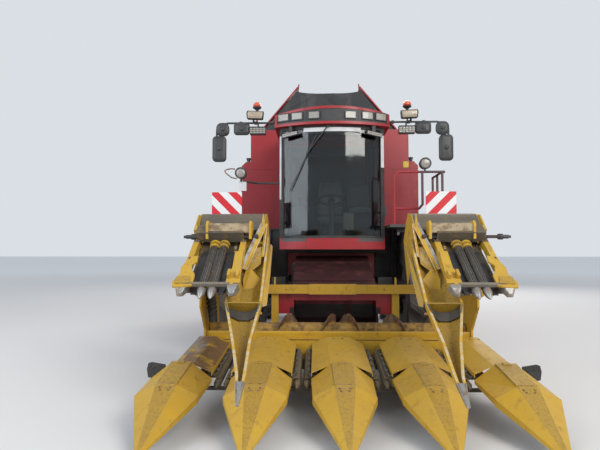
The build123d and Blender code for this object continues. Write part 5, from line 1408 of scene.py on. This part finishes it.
def makeWingFittings():
    look = wingFittings
    (front, back), (low, high) = look["y"], look["z"]
    for wing, sign, body in wings:
        ends = [sign * x for x in look["x"]]
        span = sorted(ends)
        strip = startShape()
        addBox(strip, span, (front, front + 0.008), (low, high))
        addBox(strip, span, (front, back), (high, high + 0.006))
        addBox(strip, span, (front, front + 0.028), (low - 0.006, low))
        finishShape(strip, "wingStrip" + wing, ["beigePaint"], body, bevel=0.002)
        outline = ((front - 0.020, low - 0.070), (front + 0.060, low - 0.075), (back + 0.02, low + 0.02),
                   (back + 0.02, high + 0.025), (front + 0.010, high + 0.030), (front - 0.022, high - 0.010))
        caps = startShape()
        for x in ends:
            addSlab(caps, [fromAxle(x - 0.013, y, z) for y, z in outline], (0.026, 0, 0))
        finishShape(caps, "wingStripEnds" + wing, ["yellowPaint"], body, bevel=0.004)
        shaft = startShape()
        inner, outer = (fromAxle(sign * x, *look["shaft"]) for x in look["shaftEnds"][wing])
        addTube(shaft, [inner, outer], 0.017, 6)
        addSpun(shaft, outer, (sign, 0, 0), look["coupling"], 16)
        addSpun(shaft, inner, (-sign, 0, 0), look["cap"], 16)
        finishShape(shaft, "hexShaft" + wing, ["darkSteel"], body, smooth=True)
        plates = startShape()
        for middle in (-look["plateAside"], look["plateAside"]):
            rings = []
            for along, wide in look["plates"]:
                half = wide / 2
                corners = ((-half, 0.040), (half, 0.040), (half - 0.006, 0.024), (0.006 - half, 0.024))
                rings.append([onWingRow(sign, middle + across, up, along) for across, up in corners])
            addLoft(plates, rings)
        finishShape(plates, "snappingPlates" + wing, ["darkSteel"], body, bevel=0.003)
        tips = startShape()
        for across in (-look["tipAside"], look["tipAside"]):
            path = [onWingRow(sign, across, 0.002, along) for along, radius in look["tips"]]
            addTube(tips, path, [radius for along, radius in look["tips"]], 10)
        finishShape(tips, "rollTips" + wing, ["wornSteel"], body, smooth=True)
        bolts = []
        for across in (-look["boltAside"], look["boltAside"]):
            for along in look["bolts"]:
                point, head = (onWingRow(sign, across, up, along) for up in (-0.041, -0.060))
                bolts.append((point, head - point, (1, 0, 0)))
        repeated("wingBolts" + wing, "stud", bolts, (0.030, 0.03, 0.016), "rustySteel", body)
    boot = look["boot"]
    profile = [(0.045, 0.0)]
    for k in range(boot["folds"]):
        down = boot["pitch"] * k
        profile += [(0.066 - 0.002 * k, 0.020 + down), (0.048, 0.044 + down)]
    drive = startShape()
    addSpun(drive, fromAxle(*boot["top"]), boot["axis"], profile, 16)
    finishShape(drive, "driveBoot", ["flapRubber"], "feeder", smooth=True)
    print("wing fittings made")


# Snouts

snoutLook = {
    # y, half width of the flat top, half width, heights of top, side edge and lower edge
    "stations": ((-3.450, 0.105, 0.285, 0.460, 0.322, 0.290), (-3.950, 0.088, 0.268, 0.382, 0.290, 0.236)),
    "point": ((-3.952, 0.091, 0.271, 0.386, 0.294, 0.234), (-4.690, 0.006, 0.010, 0.066, 0.060, 0.044)),
    # y, half width and height of the raised middle panel
    "panel": ((-3.456, 0.100, 0.478), (-3.700, 0.094, 0.438), (-3.930, 0.088, 0.399)),
    "sheet": 0.006,
}


# the open profile of a folded sheet, from one lower edge over the top to the other
def foldedProfile(x, station, inset=0.0, lip=0.0):
    y, flat, half, top, side, low = station
    half -= inset
    flat = max(flat - inset / 2, 0.002)
    top -= inset
    side = min(side, top - 0.002)
    if lip:
        low += inset
    ring = [(x - half, y, low), (x - half, y, side), (x - flat, y, top), (x + flat, y, top),
            (x + half, y, side), (x + half, y, low)]
    return [(x - half + lip, y, low)] + ring + [(x + half - lip, y, low)] if lip else ring


# a channel of sheet: the outer and inner profiles joined along their edges and at both ends
def addChannel(shape, outer, inner, finishes):
    count, rows = len(outer[0]), len(outer)
    start = len(shape["points"])
    addFaces(shape, [point for ring in outer + inner for point in ring], [])

    def addPanel(finish, *corners):
        shape["faces"].append(tuple(start + (skin * rows + row) * count + k for skin, row, k in corners))
        shape["finishes"].append(finish)

    for row in range(rows - 1):
        for skin in (0, 1):
            for k in range(count - 1):
                corners = ((row, k), (row, k + 1), (row + 1, k + 1), (row + 1, k))
                addPanel(finishes[skin][k], *((skin, *corner) for corner in corners))
        for k in (0, count - 1):
            addPanel(finishes[0][0], (0, row, k), (0, row + 1, k), (1, row + 1, k), (1, row, k))
    for row in (0, rows - 1):
        for k in range(count - 1):
            addPanel(finishes[0][0], (0, row, k), (0, row, k + 1), (1, row, k + 1), (1, row, k))


def makeSnouts():
    look = snoutLook
    shells = startShape()
    # outer skin yellow with its flat top soiled; inner skin in dark paint, painted shade inside the snout
    plain = ((0, 0, 1, 0, 0), (2, 2, 2, 2, 2))
    for x in dividers:
        for stations in (look["stations"], look["point"]):
            outer, inner = ([[fromAxle(*point) for point in foldedProfile(x, station, inset)] for station in stations]
                            for inset in (0.0, look["sheet"]))
            addChannel(shells, outer, inner, plain)
        # closed behind by a plate in dark paint, painted shade for the dark gap between hood and snout
        rear = [fromAxle(*point) for point in foldedProfile(x, look["stations"][0], 0.002)]
        addSlab(shells, rear, (0, -0.006, 0), finish=2)
        addLoft(shells, [[fromAxle(x + aside, y, height) for aside, height in (
            (-half, top - 0.028), (0.004 - half, top), (half - 0.004, top), (half, top - 0.028))]
            for y, half, top in look["panel"]], finish=1)
        # its hinge strap
        addBlock(shells, fromAxle(x, -3.475, 0.478), (0.070, 0.060, 0.012), finish=1)
    piece = finishShape(shells, "snoutShells", ["yellowPaint", "soiledYellow", "darkPaint"], "feeder", bevel=0.002)
    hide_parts("snouts")
    print("snouts made")


# Wing dividers, drawn as they lie folded on the machine's left

wingDivider = {
    # y and the heights as worked, then the inner and outer edges as folded
    "rear": (-2.440, 0.545, 0.470, 0.400, 0.735, 1.080),
    "hoodFront": (-3.440, 0.455, 0.370, 0.335, 0.722, 1.053),
    "snoutRear": (-3.452, 0.460, 0.380, 0.330, 0.722, 1.053),
    "middle": (-3.950, 0.385, 0.320, 0.262, 0.761, 0.9225),
    "fore": (-4.360, 0.232, 0.180, 0.145, 0.7485, 0.829),
    "worn": (-4.440, 0.192, 0.1515, 0.12125, 0.750875, 0.81575),
    "tip": (-4.680, 0.072, 0.066, 0.050, 0.758, 0.776),
    "hollow": ((-3.470, 0.448, 0.368, 0.318, 0.722, 1.053), (-3.590, 0.4330, 0.356, 0.300, 0.739, 1.012)),
    "lip": 0.020, "flatShare": 0.36,
    # the bright edge of the cross plate
    "edge": {"x": (0.727, 1.048), "y": -3.470, "z": 0.452},
    # outlines as folded
    "sideSheet": ((0.7225, -2.790, 1.585), (0.700, -2.830, 1.560), (0.690, -3.180, 1.300), (0.690, -3.560, 1.010),
                  (0.722, -3.600, 1.000), (0.735, -3.560, 1.060)),
    "web": ((0.785, -3.055, 1.560), (0.860, -3.110, 1.530), (0.925, -3.215, 1.345), (0.900, -3.250, 1.290),
            (0.790, -3.180, 1.380)),
    "bracket": ((0.925, -3.280, 1.320), (0.870, -3.290, 1.335), (0.775, -3.330, 1.235), (0.760, -3.360, 1.150),
                (0.800, -3.390, 1.115), (0.930, -3.390, 1.120), (0.945, -3.330, 1.230)),
    # top, foot, width and slant of the two legs of folded strap, and the point that they spread from
    "legs": (((0.770, -2.990, 1.792), (0.945, -3.245, 1.330), 0.052, 0.38),
             ((0.757, -2.985, 1.790), (0.778, -3.130, 1.450), 0.024, 0.0)),
    "point": ((0.787, -2.995, 1.750), (0.787, -2.995, 1.820), (0.783, -2.995, 1.895)),
}


def dividerRing(station, sign, inset=0.0, lip=0.0):
    y, top, side, low, inner, outer = station
    half = (outer - inner) / 2
    middle = 2 * foldPlane["x"] - (inner + outer) / 2
    profile = foldedProfile(middle, (y, half * wingDivider["flatShare"], half, top, side, low), inset, lip)
    return [onWing(sign, *point) for point in profile]


# a flat strap from place to place, with its own width direction and thickness
def addStrap(shape, path, across, thick, finish=0):
    deep = Vector((0, thick / 2, 0))
    rings = []
    for place, width in path:
        side = across * width / 2
        rings.append([place - side - deep, place + side - deep, place + side + deep, place - side + deep])
    addLoft(shape, rings, finish)


def addDividerLeg(shape, sign, top, foot, width, slant):
    top, foot = (fromAxle(sign * x, y, z) for x, y, z in (top, foot))
    across = Vector((1, 0, slant * sign)).normalized()
    addStrap(shape, [(top, width * 0.7), (foot, width)], across, 0.008)
    step = across * (-sign) * width * 0.44 + Vector((0, -0.010, 0))
    addTube(shape, [top + step, foot + step], 0.007, 8, finish=3)
    if slant:
        step = across * sign * 0.030 + Vector((0, -0.004, 0))
        addStrap(shape, [(top + step, 0.020), (foot + step, 0.034)], across, 0.012, finish=4)


def makeWingDividers():
    look = wingDivider
    # outer skin yellow; inner skin soiled yellow, darker partly as dirt and partly as painted shade in the hollow;
    # lips rubbed
    finishes = ((3, 0, 0, 0, 0, 0, 3), (3, 1, 1, 1, 1, 1, 3))
    for wing, sign, body in wings:
        shape = startShape()

        def outlined(name):
            return [fromAxle(sign * x, y, z) for x, y, z in look[name]]

        for names in (("snoutRear", "middle", "fore", "tip"), ("rear", "hoodFront")):
            outer, inner = ([dividerRing(look[name], sign, inset, look["lip"] * (0.3 if name == "tip" else 1))
                             for name in names] for inset in (0.0, 0.005))
            addChannel(shape, outer, inner, finishes)
        # cross plate with its rolled edge, and a channel in dark paint lining the hollow behind the plate, painted
        # shade
        y, *rest = look["snoutRear"]
        addLoft(shape, [dividerRing((y - step, *rest), sign, 0.004) for step in (0.0, 0.010)], finish=1)
        outer, inner = ([dividerRing(station, sign, inset) for station in look["hollow"]] for inset in (0.010, 0.018))
        addChannel(shape, outer, inner, ((2,) * 5, (2,) * 5))
        edge = look["edge"]
        path = [onWing(sign, 2 * foldPlane["x"] - x, edge["y"], edge["z"]) for x in edge["x"]]
        addTube(shape, path, 0.011, 8, finish=3)
        # worn steel tip, closed below
        addLoft(shape, [dividerRing(look[name], sign, -0.003) for name in ("worn", "tip")], finish=4)
        # tall side sheet on the inner side, its edge running up to a point behind
        addSlab(shape, outlined("sideSheet"), (sign * 0.006, 0, 0))
        for leg in look["legs"]:
            addDividerLeg(shape, sign, *leg)
        addTube(shape, outlined("point"), (0.016, 0.014, 0.004), 8)
        # web between the legs, and the bracket below them
        addSlab(shape, outlined("web"), (0, 0.008, 0), finish=1)
        addSlab(shape, outlined("bracket"), (0, 0.012, 0))
        dividerFinishes = ["yellowPaint", "soiledYellow", "darkPaint", "rubbedYellow", "wornSteel"]
        piece = finishShape(shape, "wingDivider" + wing, dividerFinishes, body, bevel=0.0015)
        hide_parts("wing_divider_" + wing.lower())
        makeRowNoses(wing, sign, body)
    print("wing dividers made")


# flat plates on the folded row's underside: outline as across and along, up, thickness and finish
rowPlates = (
    (((-0.165, 0.50), (-0.150, 0.60), (-0.190, 0.66), (-0.172, 0.74), (-0.130, 0.82), (-0.125, 0.97),
      (-0.200, 1.000), (-0.300, 0.995), (-0.315, 0.93), (-0.270, 0.80), (-0.285, 0.70), (-0.255, 0.60),
      (-0.215, 0.52)), -0.044, 0.020, 0),
    (((-0.290, 0.86), (-0.175, 0.85), (-0.150, 0.95), (-0.280, 0.96)), -0.064, 0.012, 1),
    (((0.185, 0.42), (0.262, 0.40), (0.275, 0.62), (0.285, 0.80), (0.300, 0.93), (0.165, 0.93), (0.170, 0.78),
      (0.195, 0.70)), -0.044, 0.014, 0),
    (((0.172, 0.78), (0.198, 0.78), (0.198, 0.87), (0.172, 0.87)), -0.058, 0.045, 0),
    (((0.252, 0.78), (0.278, 0.78), (0.278, 0.87), (0.252, 0.87)), -0.058, 0.045, 0),
)

rowNoses = {
    "across": (-0.222, 0.232),
    # along, half width and depth
    "steps": ((0.950, 0.062, 0.062), (1.000, 0.048, 0.054), (1.040, 0.027, 0.036), (1.050, 0.020, 0.026)),
    # along and radius of the bearings over the rolls
    "bearings": ((0.20, 0.056), (0.255, 0.050)), "rollAside": 0.047, "flute": 0.037,
}


# plates, bearings and noses of the folded row, laid on its underside
def makeRowNoses(wing, sign, body):
    look = rowNoses
    shape = startShape()
    for outline, up, thick, finish in rowPlates:
        rings = [[onWingRow(sign, across, height, along) for across, along in outline] for height in (up, up - thick)]
        addLoft(shape, rings, finish)
    noses = startShape()
    for middle in look["across"]:
        rings = []
        for along, half, deep in look["steps"]:
            corners = ((-half, 0.010), (half, 0.010), (half * 0.8, -deep), (half * -0.8, -deep))
            rings.append([onWingRow(sign, middle + across, up, along) for across, up in corners])
        addLoft(noses, rings)
    finishShape(noses, "rowNoses" + wing, ["wornSteel"], body, bevel=0.005)
    flutes = startShape()
    for side in (-1, 1):
        roll = side * look["rollAside"]
        for along, radius in look["bearings"]:
            turns = [math.pi * k / 8 for k in range(9)]
            addLoft(shape, [[onWingRow(sign, roll + radius * math.cos(turn), -radius * math.sin(turn), place)
                             for turn in turns] for place in (along, along + 0.026)], finish=1 if side > 0 else 0)
        for k in range(5):
            turn = math.pi * (k + 0.5) / 5
            across, up = roll + look["flute"] * math.cos(turn), -look["flute"] * math.sin(turn)
            addTube(flutes, [onWingRow(sign, across, up, along) for along in (0.29, 0.93)], 0.007, 4)
    finishShape(shape, "rowPlates" + wing, ["yellowPaint", "soiledYellow"], body, bevel=0.003)
    finishShape(flutes, "rollFlutes" + wing, ["darkSteel"], body)


# Hull, wheels and tail

hull = {
    # the dark wall that stands in for the shade under the body: length, half width, heights and ribs
    "bulkhead": {"y": 0.440, "half": 1.120, "z": (0.980, 1.900), "ribs": (-1.02, -0.72, -0.36, 0.0, 0.36, 0.72, 1.02)},
    # name, x, y, z, rim radius, how far the disc stands out, wheel nuts
    "wheels": (("front_wheel", 1.460, 0.0, 0.915, 0.406, 0.088, 12),
               ("rear_wheel", 1.380, 3.500, 0.640, 0.305, 0.070, 8)),
    "hubCap": ((0.20, 0.035), (0.20, 0.078), (0.15, 0.090), (0.06, 0.094), (0, 0.095)),
    # how far out and share of the rim
    "valve": ((0.040, 0.90), (0.085, 0.86)), "nutCircle": 0.55, "nut": (0.034, 0.034, 0.030),
    "plate": {"x": (1.347, 1.447), "y": (1.143, 1.150), "z": (3.043, 3.156), "screws": 0.010},
    "doors": {"x": 1.620, "latchY": (1.55, 2.25), "latchZ": 1.31, "frameY": ((1.42, 1.86), (1.93, 2.40)),
              "frameZ": (1.38, 1.86)},
    "latch": ((0.020, 0.0), (0.020, 0.008), (0.012, 0.012), (0, 0.012)),
    # heights of the ladder's rungs, and how far they go back as they rise
    "rungs": (0.500, 0.780, 1.060, 1.340, 1.620), "rungSlope": 0.17,
    "tail": {"half": 0.760, "y": 5.480, "lamp": (0.130, 0.090)},
    # height and finish of a tail lamp's two lenses; the frame's heights and upright places
    "lensPair": ((1.790, 2), (1.690, 3)), "tailRails": (1.32, 1.58), "tailPosts": (-0.72, -0.25, 0.25, 0.72),
    # distance out and inset of a tail lamp's lens
    "lens": ((0.012, 0), (0.030, 0), (0.038, 0.008)),
    "handle": ((-0.12, 0), (-0.12, 0.045), (0.12, 0.045), (0.12, 0)),
}


# a ribbed wall in dark paint across the hull behind the front axle: painted shade that fills the dark under the body
# between the wheels
def makeShadeBulkhead():
    look = hull["bulkhead"]
    half, y, (low, high) = look["half"], look["y"], look["z"]
    shape = startShape()
    addBox(shape, (-half, half), (y - 0.003, y + 0.003), (low, high))
    for x in look["ribs"]:
        outline = ((x - 0.030, y - 0.003), (x - 0.018, y - 0.035), (x + 0.018, y - 0.035), (x + 0.030, y - 0.003))
        addSlab(shape, [fromAxle(px, py, low + 0.02) for px, py in outline], (0, 0, high - low - 0.04))
    for z in (low, high - 0.024):
        addBox(shape, (-half, half), (y - 0.033, y - 0.003), (z, z + 0.024))
    finishShape(shape, "shadeBulkhead", ["darkPaint"], bevel=0.003)
    print("bulkhead made")


def makeWheelFittings():
    for name, x, y, z, radius, disc, count in hull["wheels"]:
        for ending, side, wing in wings:
            body = wing.replace("wing", name)
            wheel = name.title().replace("_", "") + ending
            outward = (side, 0, 0)
            nuts = []
            for k in range(count):
                turn = 2 * math.pi * (k + 0.5) / count
                reach = radius * hull["nutCircle"]
                place = fromAxle(side * (x + disc), y + reach * math.cos(turn), z + reach * math.sin(turn))
                nuts.append((place, outward, (0, 0, 1)))
            repeated("nuts" + wheel, "stud", nuts, hull["nut"], "rustySteel", body)
            hub = startShape()
            profile = [(radius * share, disc + out) for share, out in hull["hubCap"]]
            addSpun(hub, fromAxle(side * x, y, z), outward, profile, 20)
            # valve stem near the rim
            stem = [fromAxle(side * (x + out), y + radius * share, z) for out, share in hull["valve"]]
            addTube(hub, stem, 0.007, 8)
            finishShape(hub, "hubCap" + wheel, ["darkPaint"], body, smooth=True)
    print("wheel fittings made")


def makeHullFittings():
    up, ahead = (0, 0, 1), (0, -1, 0)
    rivets = []
    for side in (-1, 1):
        rivets += [(fromAxle(side * 1.580, 1.1495, 1.95 + 0.12 * k), ahead, up) for k in range(10)]
        rivets += [(fromAxle(side * 1.620, 1.24 + 0.120 * k, 2.105), (side, 0, 0), up) for k in range(17)]
    repeated("hullRivets", "stud", rivets, (0.016, 0.016, 0.006), "redPaint")
    # a blank yellow plate on the front wall
    (x0, x1), (y0, y1), (z0, z1) = (hull["plate"][axis] for axis in "xyz")
    inset = hull["plate"]["screws"]
    plate = startShape()
    addPlate(plate, [(x0, z0), (x1, z0), (x1, z1), (x0, z1)], (y0, y1), finish=1)
    for z in (z0 + inset, z1 - inset):
        for x in (x0 + inset, x1 - inset):
            addSpun(plate, fromAxle(x, y0, z), ahead, [(0.005, 0.0), (0.004, 0.003), (0, 0.004)], 8, finish=2)
    finishShape(plate, "tankPlate", ["redPaint", "yellowPlastic", "rustySteel"], bevel=0.001)
    look = hull["doors"]
    z0, z1 = look["frameZ"]
    for ending, side, wing in wings:
        fittings = startShape()
        x, z = side * look["x"], look["latchZ"]
        for y in look["latchY"]:
            addBlock(fittings, fromAxle(x + side * 0.004, y, z), (0.008, 0.110, 0.060))
            addSpun(fittings, fromAxle(x + side * 0.008, y - 0.025, z), (side, 0, 0), hull["latch"], 12)
            addBlock(fittings, fromAxle(x + side * 0.014, y + 0.018, z), (0.010, 0.055, 0.016))
        # pressed frames on the door
        for y0, y1 in look["frameY"]:
            for a, b in (((y0, z0), (y1, z0)), ((y1, z0), (y1, z1)), ((y1, z1), (y0, z1)), ((y0, z1), (y0, z0))):
                middle = fromAxle(x + side * 0.003, (a[0] + b[0]) / 2, (a[1] + b[1]) / 2)
                addBlock(fittings, middle, (0.008, abs(a[0] - b[0]) + 0.022, abs(a[1] - b[1]) + 0.022), finish=1)
        body = wing.replace("wing", "service_door")
        finishShape(fittings, "doorFittings" + ending, ["blackPlastic", "redPaint"], body, bevel=0.002)
    cleats = []
    for z in hull["rungs"]:
        y = (z - 0.46) * hull["rungSlope"] - 1.060
        for row, step in enumerate((-0.025, 0.0, 0.025)):
            for k in range(7):
                x = 1.43 + 0.060 * k + 0.030 * (row % 2)
                cleats.append((fromAxle(x, y + step, z + 0.0125), up, (0, 1, 0)))
    repeated("ladderCleats", "stud", cleats, (0.014, 0.014, 0.008), "darkSteel")
    print("hull fittings made")


def makeTail():
    half, y, (width, height) = (hull["tail"][name] for name in ("half", "y", "lamp"))
    tail = startShape()
    for side in (-1, 1):
        x = side * (half - 0.105)
        addBlock(tail, fromAxle(x, y + 0.006, 1.740), (width + 0.03, 0.012, height * 2 + 0.04), finish=1)
        for z, finish in hull["lensPair"]:
            across, upward = (x - width / 2, x + width / 2), (z - height / 2, z + height / 2)
            rings = [roundedRing(across, upward, y + out, 0.012, inset) for out, inset in hull["lens"]]
            addLoft(tail, rings, finish)
    # swaged frame across the tail, and a lifting handle
    for z in hull["tailRails"]:
        addBlock(tail, fromAxle(0, y + 0.005, z), (2 * half - 0.10, 0.010, 0.030))
    for x in hull["tailPosts"]:
        addBlock(tail, fromAxle(x, y + 0.005, 1.45), (0.030, 0.010, 0.290))
    addTube(tail, [fromAxle(x, y + out, 1.50) for x, out in hull["handle"]], 0.010, 8, finish=1)
    finishShape(tail, "tailFittings", ["redPaint", "blackPlastic", "redLens", "amberedLens"], bevel=0.002)
    print("tail made")


troughTrim = {"above": 1.905, "outside": 1.505}


# the wing trough without the corner of its hinge plate that stands up when folded
def makeWingTroughs():
    for ending, _, body in wings:
        node = body.replace("wing", "wing_trough")
        mesh = bpy.data.meshes.new("wingTroughSheet" + ending)
        form = bmesh.new()
        form.from_mesh(nodes[node].data)
        form.transform(nodes[node].matrix_world)
        plate = [face for face in form.faces if all(abs(corner.co.x) > troughTrim["outside"] for corner in face.verts)]
        edges = list({edge for face in plate for edge in face.edges})
        corners = list({corner for face in plate for corner in face.verts})
        result = bmesh.ops.bisect_plane(form, geom=corners + edges + plate, plane_co=(0, 0, troughTrim["above"]),
                                        plane_no=(0, 0, 1), clear_outer=True)
        rim = [item for item in result["geom_cut"] if isinstance(item, bmesh.types.BMEdge)]
        bmesh.ops.holes_fill(form, edges=[edge for edge in rim if edge.is_boundary])
        form.to_mesh(mesh)
        form.free()
        mesh.materials.append(materials["wingTroughPaint"])
        piece = addToScene("wingTrough" + ending, mesh)
        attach(piece, body)
        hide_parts(node)
    print("wing troughs trimmed")


# Vents and the rotary screen's face

vents = {
    # side vent: y and z; rear vents: x and z
    "side": ((3.320, 4.080), (2.240, 2.600)),
    "rear": (((-1.250, -0.250), (2.600, 3.020)), ((0.050, 1.050), (2.600, 3.020))),
    "gap": 0.050, "frame": 0.02, "slat": 0.022, "seam": 0.020,
}


# the middles of equal slats between two limits
def slatPlaces(low, high):
    count = int((high - low) / vents["gap"])
    return [low + (k + 0.5) * (high - low) / count for k in range(count)]


def makeVents():
    look = vents
    rim = look["frame"]
    (y0, y1), (z0, z1) = look["side"]
    shape = startShape()
    # a black sheet behind the slats, painted shade in the vent's openings
    addBox(shape, (1.620, 1.623), (y0, y1), (z0, z1))
    slats = [(fromAxle(1.623, y, (z0 + z1) / 2), (1, 0, 0), (0, 1, 0)) for y in slatPlaces(y0, y1)]
    repeated("sideVentSlats", "block", slats, (look["slat"], z1 - z0 - 0.02, 0.012), "redPaint")
    low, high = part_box("engine_hood")
    rear = high[1] - axleY
    slats = []
    for (x0, x1), (z0, z1) in look["rear"]:
        # a black sheet behind each rear vent's slats, painted shade in its openings
        addBox(shape, (x0, x1), (rear, rear + 0.003), (z0, z1))
        for z in slatPlaces(z0, z1):
            slats.append((fromAxle((x0 + x1) / 2, rear + 0.003, z), (0, 1, 0), (0, 0, 1)))
        for x, z in (((x0 - rim, x1 + rim), (z1, z1 + rim)), ((x0 - rim, x1 + rim), (z0 - rim, z0)),
                     ((x0 - rim, x0), (z0, z1)), ((x1, x1 + rim), (z0, z1))):
            addBox(shape, x, (rear, rear + 0.012), z, finish=1)
    repeated("rearVentSlats", "block", slats, (look["slat"], 0.98, 0.012), "redPaint")
    # raised seams where the hood's sheets meet
    half = look["seam"] / 2
    for x in (low[0] + 0.04, -0.100, high[0] - 0.04):
        addBox(shape, (x - half, x + half), (rear, rear + 0.006), (low[2] + 0.375, high[2] - 0.025), finish=1)
    finishShape(shape, "ventFrames", ["blackPlastic", "redPaint"], bevel=0.001)
    print("vents made")


screenFace = {
    # share of the radius and half width of each ring
    "rings": ((0.985, 0.012), (0.68, 0.007), (0.36, 0.007)),
    "hub": ((0.13, -0.004), (0.13, 0.018), (0.08, 0.030), (0, 0.032)),
    "spokes": 8, "holesAcross": 13, "holes": (0.15, 0.95),
}


def makeScreenFace():
    look = screenFace
    low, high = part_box("rotary_screen")
    centre = Vector((low[0], (low[1] + high[1]) / 2, (low[2] + high[2]) / 2))
    radius = (high[2] - low[2]) / 2
    out = Vector((-1, 0, 0))
    shape = startShape()
    for share, half in look["rings"]:
        inner, outer = radius * share - half, radius * share + half * 0.9
        addSpun(shape, centre, out, [(inner, -0.004), (inner, 0.008), (outer, 0.008), (outer, -0.004)], 40)
    addSpun(shape, centre, out, [(radius * share, along) for share, along in look["hub"]], 20)
    for k in range(look["spokes"]):
        turn = 2 * math.pi * k / look["spokes"]
        way = Vector((0, math.cos(turn), math.sin(turn))) * radius
        addTube(shape, [centre + way * share + out * 0.003 for share in (0.10, 0.97)], 0.008, 6)
    finishShape(shape, "screenRibs", ["darkSteel"], "rotary_screen")
    # the screen's holes as thin black discs, painted shade inside the perforations
    holes = []
    count = look["holesAcross"]
    pitch = radius / count
    for row in range(-count, count + 1):
        for column in range(-count, count + 1):
            place = Vector((0, (column + row % 2 / 2) * pitch, row * pitch * 0.87))
            if look["holes"][0] < place.length / radius < look["holes"][1]:
                holes.append((centre + place - out * 0.0005, out, (0, 0, 1)))
    repeated("screenHoleShade", "stud", holes, (0.020, 0.020, 0.0015), "blackPlastic", "rotary_screen")
    print("screen face made")


makeCamera()
makeStudio()
makeMaterials()
finishNodes()
makeFloor()
makeRepeatTrees()
makeCabTrim()
makeSeat()
makeCabGoods()
makeRoofLamps()
makeArmLamps()
makeRailLamps()
makeMirrors()
makeTankCanvas()
makeChains()
makeHeaderBolts()
makeWingFittings()
makeSnouts()
makeWingDividers()
makeScreenStrips()
makeShadeBulkhead()
makeWheelFittings()
makeHullFittings()
makeTail()
makeWingTroughs()
makeVents()
makeScreenFace()
